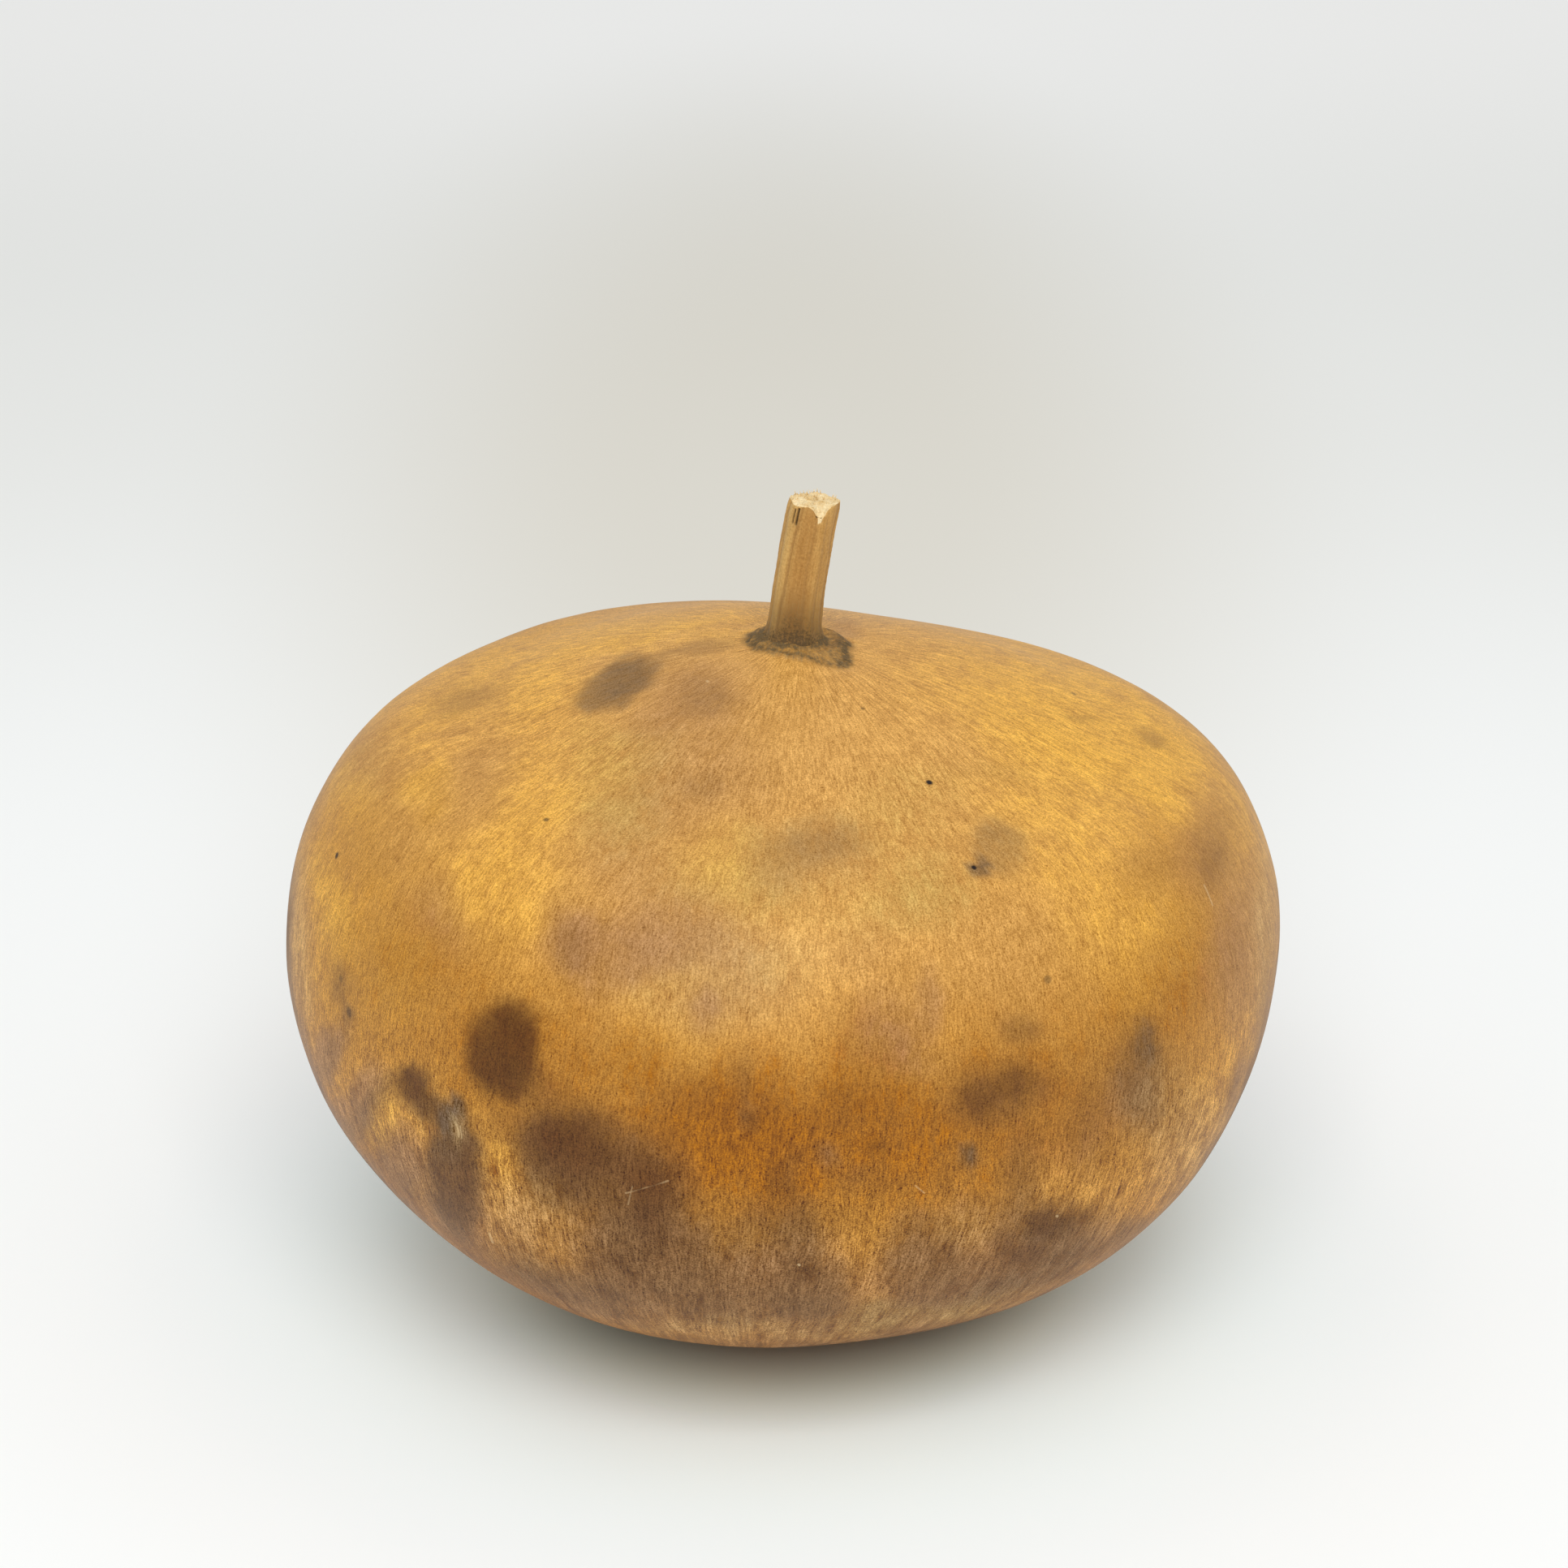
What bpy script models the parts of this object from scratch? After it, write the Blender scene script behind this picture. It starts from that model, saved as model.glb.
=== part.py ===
"""A dried canteen gourd: a squat, hard-shelled fruit that rests on its foot, with its cut stem on the crown.

Run it with blender --background --python part.py, or from Blender's text editor. Units are metres, +Z is up,
and the origin is on the surface that the gourd rests on, under the middle of its box.
"""

import math

import bpy
from mathutils import Matrix, Vector

MM = 0.001

# Outline of the gourd before it is pressed and tipped: radius and height above the foot, in millimetres,
# from the crown to the foot.
CROWN_HEIGHT = 129.3
SEAT_RADIUS = 6.6
GOURD_OUTLINE = (
    (0.0, CROWN_HEIGHT),
    (SEAT_RADIUS, CROWN_HEIGHT),
    (8.2, CROWN_HEIGHT + 0.3),  # the corky collar round the stem
    (10.2, CROWN_HEIGHT - 0.4),
    (19.0, 127.7),
    (37.0, 123.4),
    (57.0, 116.2),
    (77.5, 108.0),  # the shoulder
    (90.0, 92.0),
    (94.5, 72.5),  # the girth
    (90.5, 46.5),
    (79.0, 27.5),
    (62.5, 14.0),
    (45.0, 6.0),
    (26.0, 1.3),
    (0.0, 0.0),
)
GOURD_CORNERS = (0, 1)  # the points of the outline that stay sharp
GOURD_SIDES = 88
RINGS_A_SPAN = 3

# Swells round the fruit: waves in one turn, share of the radius, and where the first one peaks, in degrees
# from +X towards +Y.
LOBES = (
    (2, 0.009, 25.0),
    (3, 0.017, 12.0),
    (4, 0.007, 29.0),
    (5, 0.014, 34.0),
)
SHOULDER_DRIFT = 0.012  # share of the radius by which the shoulder leans to +X
SHOULDER_HEIGHT = 91.0
SHOULDER_SPREAD = 26.0

# How the fruit sits: tipped about its middle, towards +X and towards +Y, and pressed flat underneath.
MIDDLE_HEIGHT = 59.3
TIP_RIGHT = 3.2
TIP_BACK = 1.8
FOOT_PRESS = 1.2

# The stem, from its foot on the crown to the cut, in millimetres.
STEM_GAP = 0.3
STEM_LENGTH = 27.6
CUT_RADIUS = 4.6
STEM_OUTLINE = (
    (0.0, STEM_LENGTH),
    (CUT_RADIUS - 0.3, STEM_LENGTH),
    (CUT_RADIUS, STEM_LENGTH - 0.5),  # the edge of the cut
    (4.65, 21.0),
    (4.7, 13.5),
    (4.75, 7.0),
    (4.95, 3.0),
    (5.5, 0.6),  # the flare on the collar
    (5.5, 0.0),
    (0.0, 0.0),
)
STEM_CORNERS = (0, 1, 7, 8, 9)
STEM_SIDES = 40
STEM_CURVE = 1.5  # sideways travel of the top towards +X
STEM_RIBS = 5
RIB_SHARE = 0.06  # share of the radius by which a rib stands out
RIB_FACING = 225.0
CHIP_FACING = 284.0  # the splinter missing from the rim of the cut
CHIP_HALF_WIDTH = 26.0
CHIP_DEPTH = 2.8
CHIP_REACH = 0.25  # share of the stem's length that the chip reaches down

# Finishes: colour and roughness.
SKIN = ((0.62, 0.36, 0.12), 0.5)
STALK = ((0.56, 0.36, 0.15), 0.75)
SHARP_DEGREES = 40.0


def finish(name, colour, roughness):
    """A Principled material with one colour."""
    material = bpy.data.materials.new(name)
    material.use_nodes = True
    shader = material.node_tree.nodes["Principled BSDF"]
    shader.inputs["Base Color"].default_value = (*colour, 1.0)
    shader.inputs["Roughness"].default_value = roughness
    shader.inputs["Metallic"].default_value = 0.0
    return material


def clear_scene():
    """Removes the objects that the scene starts with."""
    for obj in list(bpy.data.objects):
        bpy.data.objects.remove(obj)


def outline_curve(name, outline, corners):
    """A profile at +X, smooth except at its corners, from the top down."""
    curve = bpy.data.curves.new(name, "CURVE")
    curve.dimensions = "3D"
    curve.resolution_u = RINGS_A_SPAN
    spline = curve.splines.new("BEZIER")
    spline.bezier_points.add(len(outline) - 1)
    for index, (point, (radius, height)) in enumerate(zip(spline.bezier_points, outline)):
        point.co = (radius * MM, 0.0, height * MM)
        kind = "VECTOR" if index in corners else "AUTO"
        point.handle_left_type = kind
        point.handle_right_type = kind
    obj = bpy.data.objects.new(name, curve)
    bpy.context.scene.collection.objects.link(obj)
    return obj


def turned(name, outline, corners, sides, collection):
    """The outline turned about Z, as a mesh object that can be reshaped."""
    profile = outline_curve(name + "_profile", outline, corners)
    screw = profile.modifiers.new("Turn", "SCREW")
    screw.steps = sides
    screw.render_steps = sides
    screw.use_merge_vertices = True
    screw.merge_threshold = 0.01 * MM
    graph = bpy.context.evaluated_depsgraph_get()
    mesh = bpy.data.meshes.new_from_object(profile.evaluated_get(graph))
    mesh.name = name
    bpy.data.objects.remove(profile)
    obj = bpy.data.objects.new(name, mesh)
    collection.objects.link(obj)
    return obj


def wave(angle, waves, facing):
    """One at the facing angle, falling and rising that many times in a turn."""
    return math.cos(waves * (angle - math.radians(facing)))


def lobed(point):
    """Presses a round point of the gourd into its shallow lobes."""
    angle = math.atan2(point.y, point.x)
    swell = 1.0 + sum(share * wave(angle, waves, facing) for waves, share, facing in LOBES)
    above = (point.z / MM - SHOULDER_HEIGHT) / SHOULDER_SPREAD
    swell += SHOULDER_DRIFT * math.cos(angle) * math.exp(-above * above)
    return Vector((point.x * swell, point.y * swell, point.z))


def set_down():
    """The move from the fruit's own upright axis to how it sits on its foot."""
    middle = Vector((0.0, 0.0, MIDDLE_HEIGHT * MM))
    tip = Matrix.Rotation(-math.radians(TIP_BACK), 4, "X") @ Matrix.Rotation(math.radians(TIP_RIGHT), 4, "Y")
    return Matrix.Translation(middle) @ tip @ Matrix.Translation(-middle)


def stem_shaped(point):
    """Ribs, bends and chips a round point of the stem, and carries it up to the crown."""
    angle = math.atan2(point.y, point.x)
    up = point.z / (STEM_LENGTH * MM)
    ribbed = 1.0 + RIB_SHARE * wave(angle, STEM_RIBS, RIB_FACING)
    x = point.x * ribbed + STEM_CURVE * MM * up * up
    y = point.y * ribbed
    off = (math.degrees(angle) - CHIP_FACING + 180.0) % 360.0 - 180.0
    outward = min(1.0, math.hypot(point.x, point.y) / (CUT_RADIUS * MM)) ** 4
    near_cut = max(0.0, 1.0 - (1.0 - up) / CHIP_REACH)
    chip = CHIP_DEPTH * outward * near_cut * max(0.0, 1.0 - abs(off) / CHIP_HALF_WIDTH)
    return Vector((x, y, point.z + (CROWN_HEIGHT + STEM_GAP - chip) * MM))


def reshape(obj, moved):
    """Moves every vertex of the object's mesh."""
    for vertex in obj.data.vertices:
        vertex.co = moved(vertex.co)


def centre_on_foot(gourd, others):
    """Puts the origin on the pressed foot, under the middle of the gourd's box."""
    xs = [vertex.co.x for vertex in gourd.data.vertices]
    ys = [vertex.co.y for vertex in gourd.data.vertices]
    lowest = min(vertex.co.z for vertex in gourd.data.vertices)
    middle = Vector(((min(xs) + max(xs)) / 2.0, (min(ys) + max(ys)) / 2.0, lowest + FOOT_PRESS * MM))
    for obj in (gourd, *others):
        reshape(obj, lambda point: point - middle)
    reshape(gourd, lambda point: Vector((point.x, point.y, max(point.z, 0.0))))


def smooth(obj, material):
    """Gives a round piece its finish and smooth shading."""
    obj.data.materials.append(material)
    obj.data.shade_smooth()
    obj.data.set_sharp_from_angle(angle=math.radians(SHARP_DEGREES))


def main():
    clear_scene()
    collection = bpy.data.collections.new("canteen_gourd")
    bpy.context.scene.collection.children.link(collection)
    seated = set_down()

    gourd = turned("gourd", GOURD_OUTLINE, GOURD_CORNERS, GOURD_SIDES, collection)
    reshape(gourd, lambda point: seated @ lobed(point))

    stem = turned("stem", STEM_OUTLINE, STEM_CORNERS, STEM_SIDES, collection)
    reshape(stem, lambda point: seated @ stem_shaped(point))

    centre_on_foot(gourd, [stem])
    smooth(gourd, finish("gourd_skin", *SKIN))
    smooth(stem, finish("stem_wood", *STALK))


main()
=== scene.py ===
"""The looks of a dried canteen gourd, with mottled satin skin, a corky collar and a dry cut stem.

Units are metres and +Z is up. The gourd rests on its foot at the origin, on a pale floor. +X is to the
viewer's right and +Y is away from the viewer.
"""

import math
import random
from collections import namedtuple

import bmesh
import bpy
import numpy as np
from mathutils import Matrix, Vector, noise
from mathutils.bvhtree import BVHTree


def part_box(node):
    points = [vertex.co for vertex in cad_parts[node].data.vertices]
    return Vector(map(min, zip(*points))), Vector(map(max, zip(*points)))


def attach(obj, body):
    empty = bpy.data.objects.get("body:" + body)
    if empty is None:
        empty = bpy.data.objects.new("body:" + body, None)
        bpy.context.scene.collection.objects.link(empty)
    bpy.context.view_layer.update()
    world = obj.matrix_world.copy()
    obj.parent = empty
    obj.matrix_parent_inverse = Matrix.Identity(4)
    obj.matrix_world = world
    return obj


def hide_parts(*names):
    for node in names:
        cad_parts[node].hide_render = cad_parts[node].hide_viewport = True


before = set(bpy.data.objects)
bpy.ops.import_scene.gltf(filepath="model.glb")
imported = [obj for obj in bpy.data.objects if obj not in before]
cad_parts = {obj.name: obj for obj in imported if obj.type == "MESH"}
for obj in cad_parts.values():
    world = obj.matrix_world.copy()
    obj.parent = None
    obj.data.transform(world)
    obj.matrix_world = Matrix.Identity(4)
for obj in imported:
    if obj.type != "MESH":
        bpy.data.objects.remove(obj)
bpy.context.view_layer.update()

MM = 0.001

# The view of the photograph: its side and focal length in its own pixels, how far the camera stands
# from the fruit's middle and how high over it, and how far down it looks.
PHOTO_SIDE = 1932
FOCAL_PIXELS = 6000.0
SENSOR = 36.0
CAMERA_DISTANCE = 0.936
CAMERA_ELEVATION = math.radians(26.0)
CAMERA_DIP = math.radians(23.62)
NEAREST = 10 * MM  # nothing nearer the camera than this is drawn

# How the fruit sits: how high its middle is, and how far its own axis is tipped towards +X and towards +Y.
MIDDLE_SHARE = 0.449  # of the fruit's height
TIP_RIGHT = math.radians(3.2)
TIP_BACK = math.radians(1.8)
gourd_low, gourd_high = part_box("gourd")
MIDDLE = Vector((0.0, 0.0, MIDDLE_SHARE * (gourd_high.z - gourd_low.z)))
TIP = Matrix.Rotation(-TIP_BACK, 3, "X") @ Matrix.Rotation(TIP_RIGHT, 3, "Y")
AXIS = TIP @ Vector((0.0, 0.0, 1.0))
GIRTH_RADIUS = 0.5 * (gourd_high.x - gourd_low.x)
GIRTH_DEPTH = gourd_high.z - MIDDLE.z  # how far the girth is below the crown

# Marks on the skin that the photograph shows. Each is an oval: centre, half width and
# half height in the photograph's pixels, lean in degrees, strength, and softness of its edge.
Mark = namedtuple("Mark", "x y wide tall lean strength soft")
MARKS = {
    "olive": (
        Mark(760, 960, 70, 60, 40, 0.55, 0.60),
        Mark(760, 1020, 50, 34, 20, 0.40, 0.70),
        Mark(1010, 1040, 70, 34, 0, 0.50, 0.60),
        Mark(1140, 1098, 56, 50, 0, 0.60, 0.60),
        Mark(905, 1080, 90, 44, 0, 0.58, 0.70),
        Mark(1060, 1110, 60, 40, 0, 0.24, 0.70),
        Mark(880, 1200, 100, 60, 0, 0.50, 0.70),
        Mark(1110, 1300, 50, 24, 0, 0.30, 0.70),
        Mark(1150, 1618, 140, 22, 8, 0.60, 0.60),
        Mark(440, 940, 40, 70, 30, 0.20, 0.80),
        Mark(800, 775, 60, 12, 6, 0.20, 0.80),
        Mark(1120, 990, 60, 40, 0, 0.30, 0.80),
        Mark(790, 1490, 34, 30, 0, 0.30, 0.60),
        Mark(930, 1050, 60, 34, 0, 0.34, 0.70),
    ),
    "gold": (
        Mark(650, 1052, 60, 66, 38, 0.38, 0.70),
        Mark(590, 1090, 60, 30, 40, 0.36, 0.60),
        Mark(640, 1130, 70, 30, 20, 0.26, 0.70),
        Mark(520, 970, 32, 24, 34, 0.70, 0.60),
        Mark(660, 840, 50, 60, 0, 0.50, 0.80),
        Mark(700, 960, 60, 40, 30, 0.20, 0.80),
        Mark(412, 1120, 22, 70, 12, 0.70, 0.60),
        Mark(460, 1200, 60, 70, 10, 0.60, 0.70),
        Mark(1330, 910, 100, 64, -22, 0.90, 0.70),
        Mark(1400, 960, 60, 50, -30, 0.60, 0.70),
        Mark(1230, 850, 100, 60, -20, 0.46, 0.80),
        Mark(1290, 1010, 80, 50, -30, 0.50, 0.80),
        Mark(1390, 1110, 80, 70, -30, 0.40, 0.80),
        Mark(540, 1010, 90, 70, 30, 0.24, 0.80),
        Mark(820, 1300, 70, 40, 0, 0.30, 0.80),
        Mark(1470, 910, 50, 60, -40, 0.66, 0.80),
        Mark(1310, 820, 90, 24, -26, 0.60, 0.80),
        Mark(1520, 1010, 24, 60, -10, 0.50, 0.80),
        Mark(1440, 1000, 50, 40, -30, 0.40, 0.80),
        Mark(870, 1040, 40, 50, 30, 0.26, 0.80),
        Mark(850, 1215, 60, 22, 0, 0.20, 0.70),
        Mark(618, 1450, 18, 80, -4, 0.20, 0.60),
        Mark(470, 1370, 26, 60, -26, 0.24, 0.50),
        Mark(660, 985, 50, 44, 20, 0.34, 0.70),
        Mark(1420, 880, 50, 40, -40, 0.60, 0.80),
        Mark(1300, 800, 80, 20, -24, 0.60, 0.80),
        Mark(760, 775, 180, 24, 8, 0.70, 0.80),
        Mark(560, 860, 80, 30, 36, 0.40, 0.80),
        Mark(440, 1020, 30, 80, 20, 0.40, 0.80),
        Mark(1440, 1180, 50, 80, -20, 0.30, 0.80),
    ),
    "amber": (
        Mark(1000, 1405, 240, 96, 0, 0.66, 0.66),
        Mark(1050, 1380, 110, 60, 0, 0.54, 0.66),
        Mark(920, 1350, 60, 50, 0, 0.36, 0.70),
        Mark(960, 1430, 60, 60, 0, 0.50, 0.70),
        Mark(870, 1410, 80, 80, 0, 0.70, 0.60),
        Mark(780, 1320, 120, 50, 0, 0.50, 0.70),
        Mark(830, 1470, 60, 50, 0, 0.40, 0.70),
        Mark(600, 1290, 60, 50, 0, 0.40, 0.70),
        Mark(622, 1385, 26, 36, 0, 0.50, 0.60),
        Mark(440, 1190, 40, 50, 10, 0.36, 0.80),
        Mark(700, 1260, 60, 60, 0, 0.40, 0.60),
        Mark(500, 1250, 90, 70, 10, 0.36, 0.70),
        Mark(505, 1165, 40, 60, 30, 0.34, 0.60),
        Mark(590, 1190, 40, 50, 30, 0.14, 0.70),
        Mark(680, 1345, 30, 26, 0, 0.50, 0.70),
        Mark(570, 1350, 24, 30, 0, 0.40, 0.70),
        Mark(690, 1400, 60, 40, 0, 0.40, 0.70),
        Mark(940, 1390, 60, 40, 0, 0.40, 0.70),
        Mark(760, 1440, 100, 70, -20, 0.50, 0.60),
        Mark(450, 1060, 50, 60, 30, 0.22, 0.80),
        Mark(1260, 1360, 120, 80, 0, 0.60, 0.60),
        Mark(1300, 1260, 150, 60, 0, 0.32, 0.80),
        Mark(1080, 1290, 60, 40, 0, 0.40, 0.80),
        Mark(1430, 1080, 60, 60, -20, 0.24, 0.70),
        Mark(1490, 1050, 36, 50, -20, 0.16, 0.70),
        Mark(1470, 1190, 40, 80, -10, 0.40, 0.80),
        Mark(1150, 1470, 90, 60, 0, 0.40, 0.80),
        Mark(680, 1510, 50, 36, 0, 0.30, 0.60),
        Mark(1420, 1250, 60, 60, 0, 0.34, 0.80),
        Mark(1380, 1400, 60, 60, 0, 0.30, 0.80),
    ),
    "mauve": (
        Mark(404, 1300, 18, 52, -22, 0.70, 0.50),
        Mark(436, 1372, 24, 62, -32, 0.80, 0.45),
        Mark(486, 1450, 30, 62, -44, 0.80, 0.50),
        Mark(560, 1500, 46, 50, -44, 0.66, 0.60),
        Mark(703, 1150, 34, 44, 10, 0.66, 0.60),
        Mark(750, 1165, 80, 44, 4, 0.60, 0.60),
        Mark(830, 1140, 70, 44, 0, 0.50, 0.70),
        Mark(900, 1170, 60, 34, 0, 0.30, 0.70),
        Mark(870, 1244, 20, 16, 0, 0.60, 0.60),
        Mark(850, 1200, 80, 40, 0, 0.30, 0.80),
        Mark(1105, 1258, 40, 44, 10, 0.42, 0.60),
        Mark(1110, 1290, 60, 24, 0, 0.24, 0.70),
        Mark(1146, 1225, 16, 36, 10, 0.50, 0.60),
        Mark(1070, 1180, 34, 50, 0, 0.16, 0.70),
        Mark(900, 1240, 70, 30, 0, 0.30, 0.80),
        Mark(800, 880, 40, 50, 0, 0.30, 0.80),
        Mark(1515, 1210, 28, 60, 6, 0.40, 0.80),
        Mark(640, 1500, 50, 40, -20, 0.30, 0.70),
        Mark(1398, 1355, 30, 40, 0, 0.60, 0.60),
        Mark(860, 870, 60, 50, 20, 0.50, 0.70),
        Mark(860, 970, 80, 50, 20, 0.40, 0.70),
        Mark(980, 930, 90, 80, 0, 0.12, 0.80),
        Mark(780, 1070, 70, 40, 0, 0.34, 0.80),
        Mark(1000, 1050, 60, 40, 0, 0.40, 0.70),
        Mark(1490, 1050, 36, 70, -14, 0.30, 0.60),
        Mark(1530, 1150, 34, 70, -8, 0.44, 0.60),
        Mark(1230, 1170, 100, 60, 0, 0.16, 0.80),
        Mark(1000, 1640, 300, 26, 0, 0.30, 0.80),
        Mark(1270, 1525, 80, 44, 0, 0.34, 0.70),
        Mark(1536, 1328, 9, 30, 16, 0.50, 0.50),
        Mark(690, 1606, 110, 24, -18, 0.60, 0.60),
        Mark(780, 1540, 70, 60, 0, 0.66, 0.60),
        Mark(860, 1580, 140, 50, 0, 0.74, 0.60),
        Mark(990, 1580, 60, 60, 0, 0.60, 0.60),
        Mark(1150, 1565, 90, 46, 8, 0.70, 0.60),
        Mark(1290, 1556, 100, 30, 20, 0.56, 0.60),
        Mark(1360, 1510, 50, 30, 30, 0.24, 0.60),
        Mark(1320, 1430, 50, 50, 20, 0.16, 0.80),
        Mark(470, 950, 40, 60, 30, 0.20, 0.80),
        Mark(580, 960, 50, 30, 30, 0.30, 0.80),
        Mark(500, 1030, 70, 30, 20, 0.20, 0.80),
        Mark(540, 1130, 26, 50, 30, 0.34, 0.80),
        Mark(1042, 772, 18, 12, -8, 0.40, 0.70),
        Mark(1460, 1420, 50, 60, 30, 0.12, 0.80),
    ),
    "brown": (
        Mark(706, 1418, 62, 60, 0, 0.70, 0.44),
        Mark(660, 1420, 30, 46, 0, 0.56, 0.44),
        Mark(622, 1390, 30, 26, 0, 0.26, 0.60),
        Mark(790, 1470, 60, 70, -20, 0.66, 0.44),
        Mark(692, 1462, 44, 32, 0, 0.54, 0.50),
        Mark(740, 1450, 70, 50, -30, 0.40, 0.60),
        Mark(650, 1340, 40, 26, -20, 0.40, 0.70),
        Mark(1430, 1350, 40, 50, 0, 0.30, 0.80),
        Mark(562, 1446, 34, 78, 4, 0.84, 0.30),
        Mark(550, 1490, 36, 30, -14, 0.14, 0.50),
        Mark(448, 1378, 15, 66, -34, 0.50, 0.40),
        Mark(502, 1466, 24, 44, -44, 0.40, 0.50),
        Mark(410, 1306, 12, 46, -20, 0.28, 0.50),
        Mark(506, 1340, 26, 26, 20, 0.44, 0.40),
        Mark(460, 1430, 26, 50, -36, 0.34, 0.70),
        Mark(600, 1550, 50, 16, -34, 0.24, 0.60),
        Mark(748, 1540, 50, 60, 0, 0.50, 0.60),
        Mark(715, 1592, 80, 24, -18, 0.56, 0.50),
        Mark(660, 1560, 46, 18, -26, 0.30, 0.44),
        Mark(815, 1545, 80, 60, 0, 0.66, 0.50),
        Mark(870, 1590, 70, 40, 0, 0.44, 0.50),
        Mark(930, 1530, 34, 44, 0, 0.44, 0.60),
        Mark(985, 1525, 26, 48, 0, 0.60, 0.50),
        Mark(995, 1590, 50, 40, 0, 0.64, 0.50),
        Mark(920, 1610, 90, 26, 0, 0.46, 0.60),
        Mark(1135, 1550, 46, 56, 0, 0.54, 0.50),
        Mark(1080, 1615, 90, 22, 0, 0.36, 0.70),
        Mark(1200, 1575, 60, 32, 8, 0.44, 0.50),
        Mark(1290, 1520, 50, 40, 0, 0.56, 0.50),
        Mark(1300, 1560, 90, 22, 18, 0.30, 0.60),
        Mark(1388, 1522, 34, 14, 38, 0.44, 0.44),
        Mark(1346, 1512, 34, 16, 30, 0.30, 0.50),
        Mark(1232, 1348, 60, 36, 8, 0.56, 0.60),
        Mark(1260, 1450, 24, 50, 0, 0.44, 0.70),
        Mark(1340, 1400, 22, 50, 0, 0.26, 0.80),
        Mark(1404, 1320, 30, 60, 0, 0.50, 0.60),
        Mark(1390, 1340, 60, 60, 0, 0.26, 0.80),
        Mark(1418, 1066, 34, 26, 0, 0.16, 0.60),
        Mark(1490, 1040, 20, 34, -14, 0.20, 0.60),
        Mark(980, 1510, 70, 26, 0, 0.30, 0.70),
        Mark(925, 1372, 8, 34, -34, 0.30, 0.60),
        Mark(975, 1440, 10, 26, -20, 0.30, 0.60),
        Mark(1050, 1450, 20, 14, 20, 0.30, 0.60),
        Mark(1220, 1500, 50, 30, 10, 0.30, 0.70),
        Mark(1496, 1070, 20, 30, -14, 0.26, 0.60),
        Mark(1418, 909, 20, 8, -26, 0.40, 0.60),
        Mark(1330, 884, 16, 6, -10, 0.26, 0.60),
        Mark(1226, 950, 40, 12, 0, 0.16, 0.80),
        Mark(574, 862, 40, 16, 10, 0.36, 0.70),
        Mark(870, 860, 30, 24, 0, 0.30, 0.60),
        Mark(866, 968, 26, 16, 0, 0.26, 0.70),
        Mark(860, 800, 60, 10, 12, 0.34, 0.60),
        Mark(420, 1212, 10, 26, 0, 0.44, 0.60),
        Mark(430, 1250, 9, 9, 0, 0.60, 0.60),
        Mark(1255, 1268, 26, 20, 0, 0.44, 0.60),
        Mark(1010, 1040, 50, 22, 0, 0.20, 0.70),
        Mark(700, 1180, 20, 30, 0, 0.20, 0.70),
        Mark(915, 1330, 9, 40, 0, 0.40, 0.60),
    ),
    "mould": (
        Mark(760, 843, 56, 25, 27, 0.62, 0.28),
        Mark(768, 838, 36, 15, 28, 0.36, 0.60),
        Mark(556, 1370, 16, 26, -8, 0.86, 0.34),
        Mark(530, 1362, 16, 22, 30, 0.60, 0.50),
        Mark(556, 1412, 20, 22, 0, 0.50, 0.60),
        Mark(1205, 1072, 15, 13, 0, 0.80, 0.30),
        Mark(1232, 1044, 34, 34, -40, 0.36, 0.34),
        Mark(1222, 1018, 20, 16, 0, 0.16, 0.40),
        Mark(1198, 1428, 13, 14, 0, 0.80, 0.30),
        Mark(1412, 1284, 14, 26, 0, 0.50, 0.50),
        Mark(1020, 1425, 14, 14, 0, 0.30, 0.60),
        Mark(1290, 1516, 30, 16, 10, 0.40, 0.60),
        Mark(1270, 1572, 90, 20, 18, 0.30, 0.80),
        Mark(640, 1560, 60, 20, -30, 0.24, 0.80),
    ),
    "umber": (
        Mark(621, 1296, 45, 60, 6, 0.80, 0.28),  # the large bruise on the left
        Mark(636, 1264, 28, 32, 6, 0.42, 0.40),
        Mark(612, 1318, 32, 34, 0, 0.46, 0.60),
        Mark(507, 1332, 20, 19, 20, 0.74, 0.36),  # the small one beside it, running down to the scar
        Mark(526, 1358, 15, 24, 30, 0.60, 0.44),
        Mark(560, 1456, 22, 54, 4, 0.30, 0.50),
        Mark(664, 1412, 26, 28, 0, 0.40, 0.50),
        Mark(576, 1430, 10, 60, 4, 0.36, 0.60),
        Mark(712, 1416, 42, 42, 0, 0.58, 0.60),
        Mark(690, 1390, 28, 24, 0, 0.30, 0.60),
        Mark(770, 1440, 40, 24, -30, 0.30, 0.60),
        Mark(803, 1474, 28, 44, 0, 0.52, 0.60),
        Mark(1205, 1356, 24, 22, 0, 0.44, 0.60),
        Mark(1246, 1338, 28, 22, 8, 0.44, 0.60),
        Mark(1285, 1504, 26, 20, 0, 0.60, 0.50),
        Mark(1330, 1500, 24, 12, 30, 0.44, 0.46),
        Mark(1235, 1526, 16, 14, 0, 0.40, 0.60),
        Mark(925, 1378, 12, 12, 0, 0.34, 0.70),
        Mark(1078, 1412, 15, 9, 0, 0.40, 0.60),
        Mark(1040, 1350, 26, 12, 0, 0.16, 0.70),
        Mark(1256, 1544, 30, 12, 10, 0.50, 0.50),
        Mark(960, 1460, 20, 20, 0, 0.26, 0.70),
        Mark(830, 1530, 40, 20, 0, 0.20, 0.80),
    ),
    # Pale: partly the skin's own tan, partly painted light: a sheen, reflections at the rims and light from
    # the floor.
    "pale": (
        # Painted reflections of the bright room along the left and right rims.
        Mark(366, 1160, 14, 130, 0, 0.34, 0.80),
        Mark(1562, 1150, 14, 150, 0, 0.34, 0.80),
        Mark(1460, 1400, 60, 70, 30, 0.20, 0.80),
        Mark(566, 1394, 7, 13, -10, 0.30, 0.70),
        # Painted light thrown up from the floor along the lower outline.
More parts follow.
